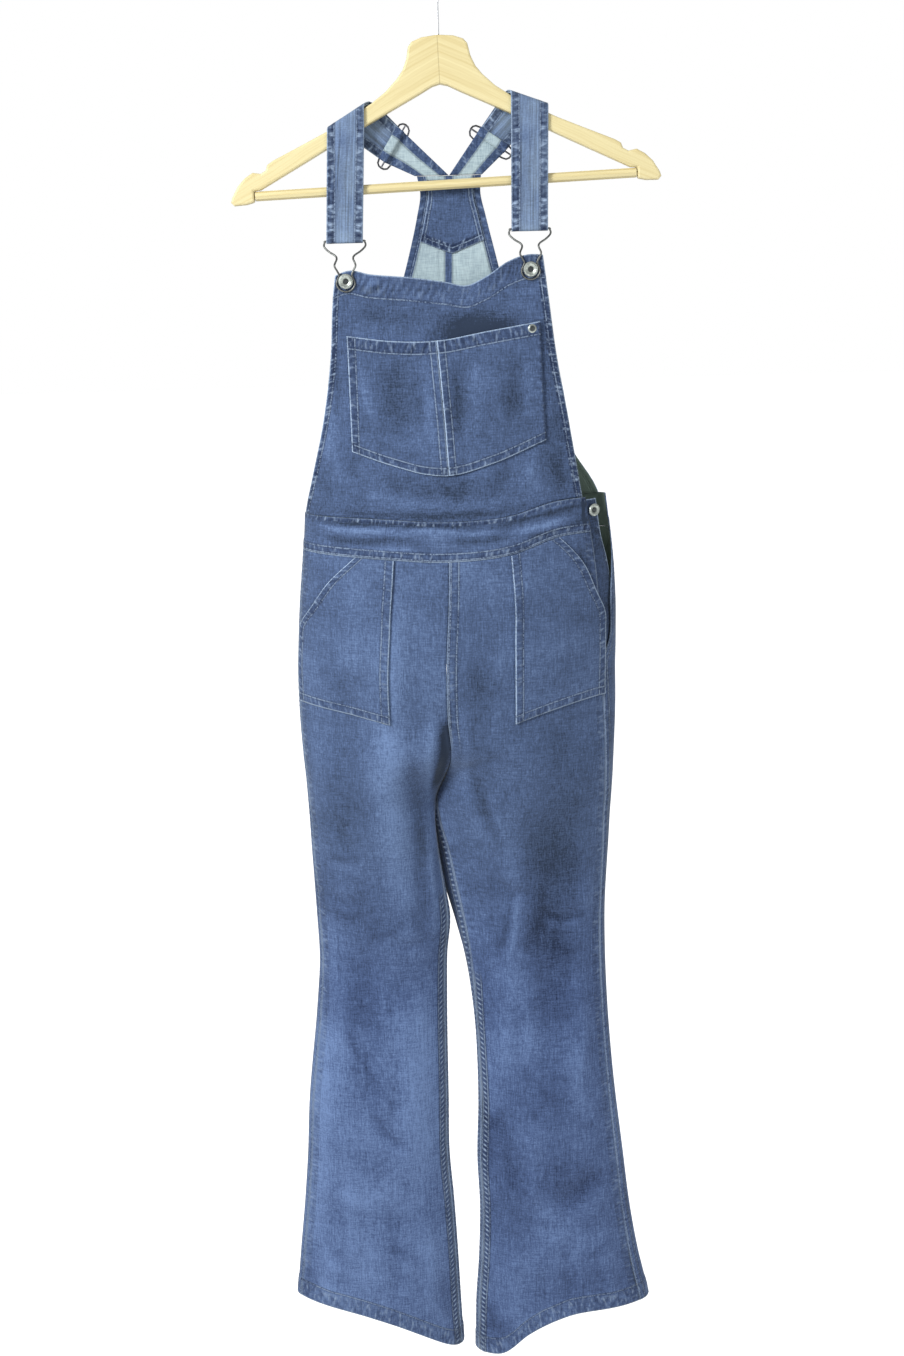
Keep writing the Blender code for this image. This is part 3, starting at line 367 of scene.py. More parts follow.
def walk(line, count, trim):
    # Points at even steps along a line, trimmed at both ends
    at = np.concatenate([[0], np.cumsum(np.linalg.norm(np.diff(line, axis=0), axis=1))])
    places = np.linspace(trim, at[-1] - trim, count)
    return np.stack([np.interp(places, at, line[:, k]) for k in range(3)], axis=1)


def facingNormals(points, facing):
    normal = np.cross(np.gradient(points, axis=1), np.gradient(points, axis=0))
    normal = normal / np.maximum(np.linalg.norm(normal, axis=-1, keepdims=True), 1e-9)
    return -normal if (normal @ np.asarray(facing, float)).mean() < 0 else normal


def reachOver(points, axis):
    # How far along the cloth each point lies from the first and the last point of its line
    steps = np.linalg.norm(np.diff(points, axis=axis), axis=-1)
    zero = np.zeros_like(np.take(steps, [0], axis=axis))
    run = np.concatenate([zero, np.cumsum(steps, axis=axis)], axis=axis)
    return run, np.take(run, [-1], axis=axis) - run


# Folds and painted shades: each is a half width, a height (negative for a trough and for a darker painted
# shade) and the points of its line, as x and drop in turn

def foldDepth(x, drop, folds):
    found = np.zeros(np.shape(x))
    for width, height, *line in folds:
        path = list(zip(line[::2], line[1::2]))
        nearest, place = np.full(np.shape(x), 1e9), np.zeros(np.shape(x))
        before = 0.0
        for (ax, ad), (bx, bd) in zip(path, path[1:]):
            length = math.dist((ax, ad), (bx, bd))
            t = np.clip(((x - ax) * (bx - ax) + (drop - ad) * (bd - ad)) / length**2, 0, 1)
            distance = np.hypot(x - mix(ax, bx, t), drop - mix(ad, bd, t))
            closer = distance < nearest
            nearest = np.where(closer, distance, nearest)
            place = np.where(closer, before + t * length, place)
            before += length
        part = place / before
        found = found + height * ease(part / 0.3) * ease((1 - part) / 0.3) * bump(nearest, 0, width)
    return found


def newGrid(name, points, mapped):
    # A grid of faces laid through rows of points
    down, across = points.shape[:2]
    bpy.ops.object.select_all(action="DESELECT")
    bpy.ops.mesh.primitive_grid_add(
        x_subdivisions=across - 1, y_subdivisions=down - 1, size=1, calc_uvs=mapped
    )
    piece = bpy.context.object
    piece.name = name
    vertices = piece.data.vertices
    place = np.zeros(len(vertices) * 3)
    vertices.foreach_get("co", place)
    place = place.reshape(-1, 3)
    column = np.rint((place[:, 0] + 0.5) * (across - 1)).astype(int)
    row = np.rint((0.5 - place[:, 1]) * (down - 1)).astype(int)
    vertices.foreach_set("co", (points[row, column] * mm).ravel())
    return piece, row, column


def editWhole(*steps):
    # Edit mode with all of the new piece selected for each step
    bpy.ops.object.mode_set(mode="EDIT")
    for step in steps:
        bpy.ops.mesh.select_all(action="SELECT")
        step()
    bpy.ops.object.mode_set(mode="OBJECT")


def newCloth(name, points, facing, options):
    # A grid pushed out by its seams and folds, then given its wall
    points, facing = np.asarray(points, float), np.asarray(facing, float)
    x, drop = points[..., 0], -points[..., 2]
    left, right = reachOver(points, 1)
    top, low = reachOver(points, 0)
    edges = {"left": (left, top), "right": (right, top), "top": (top, left), "low": (low, left)}
    lift, rope = np.zeros(x.shape), np.zeros(x.shape)
    slope = cloth["feltSlope"]
    drift, driftLength, slant = cloth["ropeWander"]
    least, more, moreLength = cloth["ropeStrength"]
    for seed, (edge, (kind, width)) in enumerate(options["seams"].items()):
        distance, along = edges[edge]
        rise, puckers = cloth["seams"][kind]
        lift = lift + cloth["feltRise"] * rise * ease((width + slope / 2 - distance) / slope)
        phase = along / cloth["ropePitch"] + drift * wander(along, seed + 3, driftLength) + slant * distance
        strength = least + more * wander(along, seed + 11, moreLength)
        near = bump(distance, width * 0.55, min(width * 0.6, cloth["ropeReach"]))
        wave = np.sin(phase * wholeWave) * strength * near * puckers
        rope = rope + wave
        lift = lift + cloth["ropeRise"] * wave
    folds = foldDepth(x, drop, options.get("folds", ()))
    seed = options.get("seed", 1)
    leanDown, downLength, leanAcross, acrossLength = cloth["slowWave"]
    slow = wander(x + leanDown * drop, seed, downLength)
    slow = slow * wander(drop - leanAcross * x, seed + 5, acrossLength)
    calm = ease(np.minimum(left, right) / cloth["calm"]) * ease(np.minimum(top, low) / cloth["calm"])
    lift = lift + folds * ease(np.minimum(top, low) / cloth["edgeCalm"]) + options["slack"] * slow * calm
    placed = points + facingNormals(points, facing) * lift[..., None]

    piece, row, column = newGrid(name, placed, True)
    mesh = piece.data
    corner = np.zeros(len(mesh.loops), int)
    mesh.loops.foreach_get("vertex_index", corner)
    for layer, pair in (("panel", (left, top)), ("panelFar", (right, low))):
        mapped = mesh.uv_layers[0] if layer == "panel" else mesh.uv_layers.new(name=layer)
        mapped.name = layer
        values = np.stack([side[row, column] for side in pair], axis=1)[corner] * mm
        mapped.data.foreach_set("uv", values.ravel())
    # This attribute holds wash fade plus painted highlight on fold ridges and painted shade in troughs and
    # creases
    wearAndShade = options["wearAndShade"](x, drop, left, right, low) if "wearAndShade" in options else 0
    large = foldsAt(options["large"], x, drop) if "large" in options else 0
    # Painted highlight on fold ridges and painted shade in fold troughs, by how far each stands out
    share = cloth["foldShading"]
    wearAndShade = wearAndShade + share["large"] * large + share["folds"] * folds + share["slow"] * slow
    # Painted shade and painted highlight laid along the listed lines
    wearAndShade = wearAndShade + foldDepth(x, drop, options.get("paintedShades", ()))
    sewn = options["sewn"](drop) if "sewn" in options else np.ones(x.shape)
    for field, values in (("wearAndShade", wearAndShade), ("rope", rope), ("sewn", sewn)):
        layer = mesh.attributes.new(field, "FLOAT", "POINT")
        layer.data.foreach_set("value", values[row, column].astype(np.float32))
    mesh.update()
    total = np.array([polygon.normal[:] for polygon in mesh.polygons]).mean(axis=0)
    if np.linalg.norm(facing) > 0 and total @ facing < 0:
        editWhole(bpy.ops.mesh.flip_normals)
    for finish in options["finish"]:
        mesh.materials.append(finish)
    wall = piece.modifiers.new("wall", "SOLIDIFY")
    wall.thickness = options.get("wall", cloth["wall"]) * mm
    wall.offset = options.get("offset", -1)
    wall.material_offset = 1
    wall.material_offset_rim = 0
    bpy.ops.object.modifier_apply(modifier="wall")
    bpy.ops.object.shade_smooth()
    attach(piece, "root")
    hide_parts(options["replaces"])
    width, length, share = options["cut"]  # the rectangle that the piece is cut from, and its share of it
    area = width * length * share * mm * mm
    width * mm
    length * mm


# Shader maths: one socket of a material, written as a number

def feed(node, values):
    # Each socket gets its number, or a link from its strand
    for key, value in values.items():
        if isinstance(value, Strand):
            value.tree.links.new(value.socket, node.inputs[key])
        else:
            node.inputs[key].default_value = value


class Strand:
    def __init__(self, tree, socket=None):
        self.tree = tree
        self.socket = socket

    def node(self, kind, settings=None, inputs=None, output=0):
        made = self.tree.nodes.new(kind)
        for key, value in (settings or {}).items():
            setattr(made, key, value)
        feed(made, inputs or {})
        return Strand(self.tree, made.outputs[output])

    def maths(self, operation, *values):
        return self.node("ShaderNodeMath", {"operation": operation}, dict(enumerate(values)))

    def __add__(self, other):
        return self.maths("ADD", self, other)

    def __radd__(self, other):
        return self.maths("ADD", other, self)

    def __sub__(self, other):
        return self.maths("SUBTRACT", self, other)

    def __rsub__(self, other):
        return self.maths("SUBTRACT", other, self)

    def __mul__(self, other):
        return self.maths("MULTIPLY", self, other)

    def __rmul__(self, other):
        return self.maths("MULTIPLY", other, self)

    def __truediv__(self, other):
        return self.maths("DIVIDE", self, other)

    def near(self, centre, width):
        # 1 at the centre, 0 beyond the width
        return (1.0 - self.maths("ABSOLUTE", self - centre) / width).clamped()

    def below(self, limit, soft):
        return ((limit - self) / soft + 0.5).clamped()

    def clamped(self):
        return self.node("ShaderNodeClamp", {}, {"Value": self})

    def joined(self, second, third=0.0):
        return self.node("ShaderNodeCombineXYZ", {}, {0: self, 1: second, 2: third})

    def parts(self):
        made = self.node("ShaderNodeSeparateXYZ", {}, {0: self}).socket.node
        return [Strand(self.tree, output) for output in made.outputs]

    def noise(self, scale, detail=2.0, stretch=None):
        # A noise of this place, about 0.5 on average
        place = self.node("ShaderNodeMapping", {}, {0: self, 3: stretch}) if stretch else self
        return self.node("ShaderNodeTexNoise", {}, {"Vector": place, "Scale": scale, "Detail": detail})

    def bumped(self, strength, distance):
        # A normal from this height
        return self.node("ShaderNodeBump", {}, {"Strength": strength, "Distance": distance, "Height": self})

    def mixed(self, other, factor):
        # This colour with a part of another
        return self.node("ShaderNodeMix", {"data_type": "RGBA"}, {0: factor, 6: self, 7: other}, output=2)

    def tinted(self, first, second):
        # A colour between two others by this value
        return self.node("ShaderNodeMix", {"data_type": "RGBA"}, {0: self, 6: first, 7: second}, output=2)


def srgb(red, green, blue):
    def linear(value):
        value /= 255
        return value / 12.92 if value <= 0.04045 else ((value + 0.055) / 1.055) ** 2.4
    return (linear(red), linear(green), linear(blue), 1)


def newFinish(name):
    finish = bpy.data.materials.new(name)
    finish.use_nodes = True
    return finish, Strand(finish.node_tree), finish.node_tree.nodes["Principled BSDF"]


denimColours = {
    "deep": srgb(29, 41, 70),
    "ground": srgb(77, 97, 139),
    "faded": srgb(119, 145, 192),
    "bleached": srgb(176, 198, 226),
    "wrongSide": srgb(190, 209, 214),
    "wrongDark": srgb(130, 150, 164),
    "dusk": srgb(116, 134, 124),
    "greyed": srgb(92, 108, 110),
}
denim = {
    "warp": (1150, 1150, 75),  # how often the threads' thick and thin places come, per metre
    "weft": (80, 80, 1000),
    "stripe": (420, 420, 9),
    "fleck": 520,
    "cloud": 17,
    "grain": (1.7, 1.3, 1.3),  # how plainly warp, weft and fleck show
    "relief": (0.6, 0.5, 0.5),
    "clouds": 1.25,
    "ropes": 0.4,
    "edgeWidth": 0.001,
    "edgeSoft": 0.0008,
    "threadWidth": 0.0009,
    "grooveWidth": 0.0024,
    "puckers": 260,
    "ladderPitch": 0.007,
    "ladderFrom": 0.3,  # below a leg panel's top
    "greyFrom": 1.15,  # the drop above which the legs are a little greyer
    "grey": 0.15,
    "strapFade": (0.8, 0.16),
}


def denimFinish(name, tone=0.0, rows=(), worn=(), bands=(), masked=(), stripes=0.5, wrong=False,
                turned=(), dusk=None):
    # Washed denim: uneven threads both ways, clouds of wear, worn edges, sewn rows, stitched bands
    finish, start, shader = newFinish(name)
    deep, bleached = denimColours["deep"], denimColours["bleached"]
    fromLeft, fromTop, _ = start.node("ShaderNodeUVMap", {"uv_map": "panel"}).parts()
    fromRight, fromLow, _ = start.node("ShaderNodeUVMap", {"uv_map": "panelFar"}).parts()
    distances = {"left": fromLeft, "right": fromRight, "top": fromTop, "low": fromLow}
    along = {"left": fromTop, "right": fromTop, "top": fromLeft, "low": fromLeft}
    fields = ({"attribute_name": field} for field in ("wearAndShade", "rope", "sewn"))
    wearAndShade, rope, sewn = (start.node("ShaderNodeAttribute", field, output=2) for field in fields)

    def shown(edge, mask):
        return mask * sewn if edge in masked else mask

    # The straps' threads follow the strip, all others hang plumb
    local = start.node("ShaderNodeTexCoord", output=3)
    isStrap = stripes > 1
    hung = fromLeft.joined(0.0, fromTop) if isStrap else local
    warp, weft = (hung.noise(1.0, 4.0, denim[thread]) - 0.5 for thread in ("warp", "weft"))
    fleck, cloud = hung.noise(denim["fleck"]) - 0.5, hung.noise(denim["cloud"], 5.0) - 0.5
    stripe = hung.noise(1.0, 2.0, denim["stripe"]) - 0.5
    grain, height = (warp * a + weft * b + fleck * c for a, b, c in (denim["grain"], denim["relief"]))

    # The mesh attribute brings wash fade together with painted shade and painted highlight
    fade = wearAndShade + (grain + stripe * stripes) + cloud * denim["clouds"] + rope * denim["ropes"] + tone
    colour = (fade + 1.0).clamped().tinted(deep, denimColours["ground"])
    colour = fade.clamped().tinted(colour, denimColours["faded"])
    drop = local.parts()[2] * -1
    greyed = colour.mixed(denimColours["greyed"], denim["grey"])
    colour = ((denim["greyFrom"] - drop) * 5).clamped().tinted(colour, greyed)
    if isStrap:
        plainly, always = denim["strapFade"]
        colour = (cloud * plainly + always).clamped().tinted(colour, denimColours["wrongSide"])
    for edge, width, strength, ladder in bands:
        # The doubled band along an edge: darker, flecked where its puckers rise, or barred like a ladder
        inside = shown(edge, distances[edge].below(width, denim["edgeSoft"]))
        pucker = along[edge].joined(distances[edge] * 0.35).noise(denim["puckers"], 3.0) - 0.5
        colour = (inside * 0.24 * strength).clamped().tinted(colour, deep)
        colour = (inside * (pucker * 4.0 - 0.1).clamped() * (0.42 * strength)).tinted(colour, bleached)
        colour = (inside * (pucker * -4.0 - 0.1).clamped() * (0.5 * strength)).tinted(colour, deep)
        height = height + inside * pucker * 2.4
        if ladder:
            # Only the inseam is barred, below the place where the legs part
            barred = inside * ((fromTop - denim["ladderFrom"]) * 60).clamped()
            colour = (barred * 0.45).tinted(colour, deep)
            rung = (along[edge] + pucker * 0.0011) * (2 * math.pi / denim["ladderPitch"])
            rung = (rung.maths("SINE", rung) * 2.2 - 0.5).clamped()
            rung = rung * distances[edge].near(width * 0.52, width * 0.34)
            colour = (barred * rung * (pucker * 2.0 + 0.8).clamped() * ladder).tinted(colour, bleached)
            height = height + barred * rung * 0.8
    for edge, strength in worn:
        line = shown(edge, distances[edge].below(denim["edgeWidth"], denim["edgeWidth"]))
        broken = ((fleck + cloud * 0.8) * 2.4 + 0.85).clamped()
        colour = (line * broken * strength).tinted(colour, bleached)
    for edge, place in rows:
        thread = shown(edge, (distances[edge].near(place, denim["threadWidth"]) * 1.7).clamped())
        groove = shown(edge, distances[edge].near(place, denim["grooveWidth"]))
        uneven = (fleck * 4.0 + cloud * 2.4 + 0.7).clamped()
        # Painted shadow in the dip each stitch row sits in; the thread itself is lighter
        colour = (groove * 0.58).tinted(colour, deep)
        colour = (thread * uneven * 0.46).tinted(colour, bleached)
        height = height + thread * 0.9 - groove * 1.2
    if wrong:
        # The wrong side also takes the painted shade and wash fade from the mesh attribute
        pale = ((warp + weft) * 1.3 + cloud * 0.8 + wearAndShade * 0.5 + 0.66).clamped()
        pale = pale.tinted(denimColours["wrongDark"], denimColours["wrongSide"])
        # A turned hem shows the cloth's right side along a panel's free edge
        for edge, width in turned:
            pale = distances[edge].below(width, denim["edgeSoft"]).tinted(pale, colour)
            pale = (distances[edge].near(width + denim["edgeSoft"], 0.0014) * 0.5).tinted(pale, deep)
        colour = pale
        if dusk:
            # Deep inside the garment little light reaches it
            begins, fall = dusk
            colour = ((drop - begins) * (1 / fall)).clamped().tinted(colour, denimColours["dusk"])
    feed(shader, {
        "Base Color": colour, "Normal": height.bumped(0.7, 0.0006), "Roughness": 0.9,
        "Specular IOR Level": 0.12, "Sheen Weight": 0.3, "Sheen Roughness": 0.4,
        "Sheen Tint": (0.86, 0.95, 0.92, 1),
    })
    return finish


# Each row is an edge and how far the thread lies from it; worn gives how light an edge is; each band
# is an edge, its width, the strength of its puckers and how plainly it is barred
denimPieces = {
    "wrongSide": dict(wrong=True),
    "wrongDusk": dict(
        wrong=True, turned=[("left", 0.008)], bands=[("left", 0.008, 0.8, 0)], dusk=(0.2, 0.1),
    ),
    "wrongHemmed": dict(
        tone=-0.15, wrong=True, turned=[("left", 0.009), ("right", 0.0035)],
        bands=[("left", 0.009, 0.8, 0)], rows=[("left", 0.007)], dusk=(0.42, 0.1),
    ),
    "legFront": dict(
        masked=("right",), worn=[("left", 0.3), ("right", 0.6), ("low", 0.8)],
        rows=[("right", 0.0022), ("right", 0.0106), ("low", 0.0235)],
        bands=[("left", 0.011, 0.8, 0), ("right", 0.0124, 0.7, 0.85), ("low", 0.025, 1.3, 0)],
    ),
    "legBack": dict(
        worn=[("left", 0.5), ("right", 0.7), ("low", 0.8)],
        rows=[("left", 0.0016), ("left", 0.0085), ("right", 0.0022), ("right", 0.0105), ("low", 0.0235)],
        bands=[("left", 0.0105, 0.5, 0), ("right", 0.0128, 0.7, 0.75), ("low", 0.025, 0.9, 0)],
    ),
    "bib": dict(
        tone=-0.18, worn=[("left", 0.9), ("right", 0.9), ("top", 0.7)],
        rows=[("left", 0.0058), ("right", 0.0058), ("top", 0.0235)],
        bands=[("left", 0.0072, 1.9, 0), ("right", 0.0085, 1.9, 0), ("top", 0.024, 0.5, 0)],
    ),
    "pocketLeft": dict(
        tone=-0.2, worn=[("left", 1), ("right", 0.6), ("low", 0.95), ("top", 0.8)],
        rows=[("left", 0.0085), ("right", 0.0072), ("low", 0.008), ("top", 0.013)],
        bands=[("left", 0.0095, 1.2, 0), ("low", 0.009, 1.3, 0), ("top", 0.0125, 1.4, 0),
               ("right", 0.0078, 0.5, 0)],
    ),
    "pocketRight": dict(
        tone=-0.2, worn=[("right", 1), ("low", 0.95), ("top", 0.8)],
        rows=[("right", 0.008), ("low", 0.008), ("top", 0.013)],
        bands=[("right", 0.009, 1.1, 0), ("low", 0.009, 1.3, 0), ("top", 0.0125, 1.3, 0),
               ("left", 0.003, 0.5, 0)],
    ),
    "hipPocket": dict(
        tone=0.04, worn=[("left", 0.95), ("right", 0.95), ("low", 0.85)],
        rows=[("left", 0.0085), ("right", 0.0092), ("low", 0.009)],
        bands=[("left", 0.0095, 1.3, 0), ("right", 0.01, 0.7, 0), ("low", 0.0098, 1.1, 0)],
    ),
    "band": dict(
        worn=[("top", 0.2), ("low", 0.9)], rows=[("low", 0.002), ("low", 0.0088)],
        bands=[("top", 0.0045, 1.5, 0), ("low", 0.0095, 1.3, 0)],
    ),
    "strap": dict(
        tone=0.35, stripes=4.4, worn=[("left", 0.7), ("right", 0.7)],
        rows=[("left", 0.0085), ("right", 0.0085)],
        bands=[("left", 0.0092, 2.4, 0), ("right", 0.0092, 2.4, 0)],
    ),
    "strapWrong": dict(
        wrong=True, turned=[("left", 0.009), ("right", 0.009)],
        bands=[("left", 0.009, 1.2, 0), ("right", 0.009, 1.2, 0)],
    ),
    "facing": dict(
        tone=-0.16, worn=[("low", 0.4), ("left", 0.5), ("right", 0.5)],
        rows=[("low", 0.0055), ("left", 0.004), ("right", 0.004)],
        bands=[("low", 0.009, 2.6, 0), ("top", 0.006, 1.0, 0), ("left", 0.005, 0.8, 0),
               ("right", 0.005, 0.8, 0)],
    ),
    "placket": dict(
        tone=-0.5, worn=[("right", 0.9), ("low", 0.7), ("top", 0.7)], bands=[("right", 0.004, 1.0, 0)],
    ),
    "dark": dict(tone=-0.3),
}
finishes = {
    key: denimFinish("denim" + key[0].upper() + key[1:], **settings) for key, settings in denimPieces.items()
}
print("finishes made")


# Legs

legFolds = {
    ("front", "left"): [
        (7, 1.8, -30, 899, -35, 998, -30, 1080), (8, -1.7, -124, 1306, -98, 1348, -74, 1375),
        (6, -1.7, -49, 963, -46, 1030, -40, 1087), (6, -1.5, -61, 1021, -48, 1060, -32, 1096),
        (5, -1.8, -14, 790, -12, 840, -24, 888), (8, -1.4, -160, 905, -138, 930, -122, 968),
        (8, -1.1, -165, 1010, -135, 1024, -100, 1016), (7, -1.2, -96, 1062, -70, 1084, -30, 1078),
        (10, 1.3, -160, 1100, -150, 1180, -158, 1250), (9, -1.1, -90, 1190, -84, 1270, -92, 1350),
        (10, 1.3, -140, 1380, -150, 1460, -146, 1560), (11, -1.3, -100, 1430, -92, 1500, -98, 1600),
        (9, 1.1, -60, 1450, -52, 1530, -50, 1630), (9, -1.2, -200, 1490, -206, 1560, -210, 1610),
        (8, 1.2, -176, 1520, -180, 1570, -182, 1612), (7, -1.0, -34, 1540, -28, 1600, -24, 1655),
        (12, 1.0, -110, 620, -108, 700, -116, 760), (10, -1.1, -46, 640, -42, 720, -48, 790),
    ],
    ("front", "right"): [
        (8, -1.8, 17, 1277, 22, 1340, 24, 1413), (12, 1.4, 80, 604, 80, 635, 80, 665),
        (8, -1.9, 12, 841, 24, 899, 43, 958), (6, -1.2, -4, 866, 24, 850, 62, 838),
        (7, -1.2, 30, 990, 58, 1014, 96, 1020), (8, -1.1, 88, 1040, 120, 1052, 156, 1040),
        (9, 1.3, 140, 920, 150, 1000, 142, 1070), (9, 1.3, 84, 1090, 78, 1180, 84, 1260),
        (10, 1.3, 136, 1110, 146, 1200, 142, 1290), (8, 1.2, 80, 1330, 84, 1400, 80, 1470),
        (10, -1.3, 120, 1490, 128, 1560, 124, 1625), (9, 1.2, 60, 1500, 56, 1570, 62, 1650),
        (7, -1.1, 92, 1540, 94, 1590, 90, 1640), (9, 1.2, 168, 1500, 180, 1560, 184, 1610),
        (8, -1.3, 206, 1520, 214, 1570, 218, 1608), (7, -1.0, 30, 1560, 26, 1620, 30, 1680),
        (10, -1.0, 24, 640, 22, 720, 28, 790), (11, 1.1, 52, 690, 50, 770, 46, 850),
    ],
    ("back", "left"): [
        (9, -1.7, -150, 845, -112, 868, -60, 862), (9, -1.7, -150, 1040, -112, 1066, -56, 1052),
        (8, 1.3, -140, 1086, -104, 1100, -50, 1094), (9, -1.2, -70, 950, -64, 1010, -70, 1080),
        (10, 1.3, -150, 1120, -156, 1230, -150, 1330), (10, -1.2, -90, 1400, -96, 1500, -92, 1600),
        (10, 1.2, -180, 1450, -190, 1540, -196, 1610), (8, -1.0, -46, 1500, -40, 1580, -38, 1660),
        (12, 1.1, -60, 660, -66, 740, -58, 820),
    ],
    ("back", "right"): [
        (9, -1.6, 44, 850, 92, 872, 150, 856), (9, -1.7, 30, 1050, 84, 1072, 140, 1052),
        (8, 1.3, 46, 1094, 92, 1110, 150, 1098), (9, -1.2, 60, 940, 66, 1010, 60, 1080),
        (10, 1.3, 140, 1130, 150, 1230, 146, 1340), (10, -1.2, 86, 1410, 92, 1500, 88, 1610),
        (10, 1.2, 172, 1450, 186, 1540, 192, 1600), (8, -1.0, 38, 1500, 34, 1590, 36, 1670),
        (12, 1.1, 44, 670, 52, 750, 46, 820),
    ],
}


# Painted shade and painted highlight along creases, folds and the crotch, with some wash fade:
# lines with a half width and an amount
legPaintedShades = {
    ("front", "left"): [
        (4, -0.4, -146, 1190, -128, 1240, -104, 1276), (4, 0.3, -136, 1176, -116, 1222, -90, 1256),
        (5, -0.35, -104, 1276, -92, 1300, -98, 1330), (5, -0.3, -60, 1040, -84, 1064, -120, 1070),
        (4, -0.3, -158, 960, -136, 968, -110, 962), (4, 0.25, -156, 972, -134, 980, -108, 974),
        (8, 0.26, -170, 1420, -140, 1440, -104, 1430), (9, -0.24, -120, 1500, -84, 1520, -50, 1540),
        (14, 0.2, -96, 640, -88, 700, -98, 760), (27, -0.24, -112, 560, -123, 798, -139, 1000),
        (17, 0.36, -81, 560, -80, 797, -66, 1000, -46, 1120),
        (22, -0.2, -128, 1010, -116, 1183, -112, 1380), (24, 0.22, -57, 1100, -55, 1253, -62, 1480),
        (14, 0.3, -172, 1120, -182, 1340, -200, 1560), (8, -0.5, -54, 812, -46, 936, -34, 1068),
        (22, 0.2, -40, 650, -44, 760), (6.5, -1.9, -10, 782, -13, 830, -21, 868, -34, 902),
        (4, 0.34, -34, 850, -36, 980, -26, 1090), (4.5, 0.4, -27, 770, -31, 841, -33, 912),
        (7, 0.26, -200, 1490, -178, 1536, -130, 1556), (6, 0.22, -216, 1524, -190, 1570, -140, 1600),
        (7, -0.26, -122, 1290, -100, 1340, -66, 1378), (12, 0.12, -60, 600, -56, 660, -68, 710),
        (6, -0.24, -160, 1030, -138, 1044, -112, 1036), (7, -0.24, -176, 640, -172, 760, -174, 900),
    ],
    ("front", "right"): [
        (44, -0.34, 88, 1230, 94, 1330, 100, 1480), (4, -0.4, 60, 1010, 52, 1060, 40, 1110),
        (4, 0.34, 70, 1004, 64, 1056, 54, 1110), (4, -0.34, 90, 1040, 120, 1052, 152, 1046),
        (4, 0.26, 88, 1052, 118, 1064, 150, 1058), (5, -0.26, 100, 1080, 124, 1096, 156, 1094),
        (7, 0.22, 60, 1150, 80, 1180, 74, 1230), (9, 0.24, 130, 1230, 140, 1290, 160, 1350),
        (8, 0.24, 70, 1480, 104, 1500, 140, 1490), (9, -0.24, 120, 1540, 160, 1530, 196, 1500),
        (9, -0.6, 136, 600, 147, 640, 153, 690), (30, -0.12, 96, 1010, 90, 1080, 88, 1150),
        (16, 0.12, 60, 640, 70, 760, 80, 860), (13, 0.24, 42, 860, 63, 999, 64, 1121, 36, 1290),
        (30, -0.1, 132, 600, 122, 806, 114, 960, 109, 1133, 100, 1360),
        (18, -0.12, 28, 620, 32, 720, 38, 840), (14, 0.2, 78, 580, 80, 680, 86, 790),
        (8, 0.3, 172, 700, 166, 900, 160, 1090), (10, 0.26, 170, 1120, 188, 1320, 212, 1540),
        (4.5, 0.3, 4, 760, 10, 830, 6, 900), (7.5, -1.9, -11, 762, -14, 812, -20, 850, -34, 900),
        (1.8, 0.5, -6, 690, -3, 790, -8, 850), (7, -0.32, 16, 846, 28, 900, 52, 975),
        (12, -0.26, 100, 1470, 140, 1438, 184, 1394), (8, -0.24, 15, 1250, 22, 1340, 24, 1440),
        (9, -0.2, 32, 1300, 48, 1370, 62, 1450), (7, -0.24, 92, 985, 96, 1040, 84, 1090),
        (12, -0.34, 6, 1600, 30, 1640, 66, 1646), (5, 0.18, 88, 1040, 120, 1050, 158, 1036),
    ],
    ("back", "left"): [
        (24, 0.22, -112, 640, -118, 800, -124, 920), (12, -0.26, -50, 900, -100, 914, -150, 892),
        (22, 0.22, -108, 1020, -112, 1200, -116, 1400), (17, -0.22, -60, 1100, -64, 1260, -68, 1480),
        (13, 0.22, -174, 1150, -184, 1340, -204, 1540),
    ],
    ("back", "right"): [
        (22, 0.16, 98, 650, 106, 800, 112, 910), (12, -0.26, 44, 900, 90, 916, 144, 896),
        (22, 0.16, 96, 1030, 104, 1200, 112, 1400), (17, -0.22, 52, 1120, 56, 1270, 62, 1480),
        (11, 0.2, 170, 1150, 186, 1320, 206, 1520),
    ],
}


def legSewn(side, face):
    # The inseam's barred band shows on the front panel only where that reaches the leg's inner edge
    def sewn(drop):
        below = ease((drop - {"left": 1010, "right": 1120}[side]) / 30)
        above = (1 - ease((drop - 800) / 40)) if side == "right" else 0 * drop
        return np.maximum(below, above) if face == "front" else np.ones(np.shape(drop))

    return sewn


legPaintedLight = {"left": 0.1, "right": -0.12}  # painted light on the left leg, painted shade on the right


def legWearAndLight(side, face):

    def wearAndShade(x, drop, left, right, low):
        # Lighter down the calf, at the hem and along the seams, darker at the knee,
        # with painted light on the left leg and painted shade on the right
        knee = -0.1 * bump(drop, 1020, 110)
        calf = 0.22 * ease((drop - 1120) / 150)
        hem = 0.26 * ease((27 - low) / 3)
        edge = 0.3 * ease((9 - np.minimum(left, right)) / 9) * ease((drop - 640) / 150)
        inseam = 0.4 * ease((18 - right) / 8) * ease((drop - 860) / 30) if face == "back" else 0
        return knee + calf + hem + edge + inseam + legPaintedLight[side] * ease((drop - 640) / 120)

    return wearAndShade


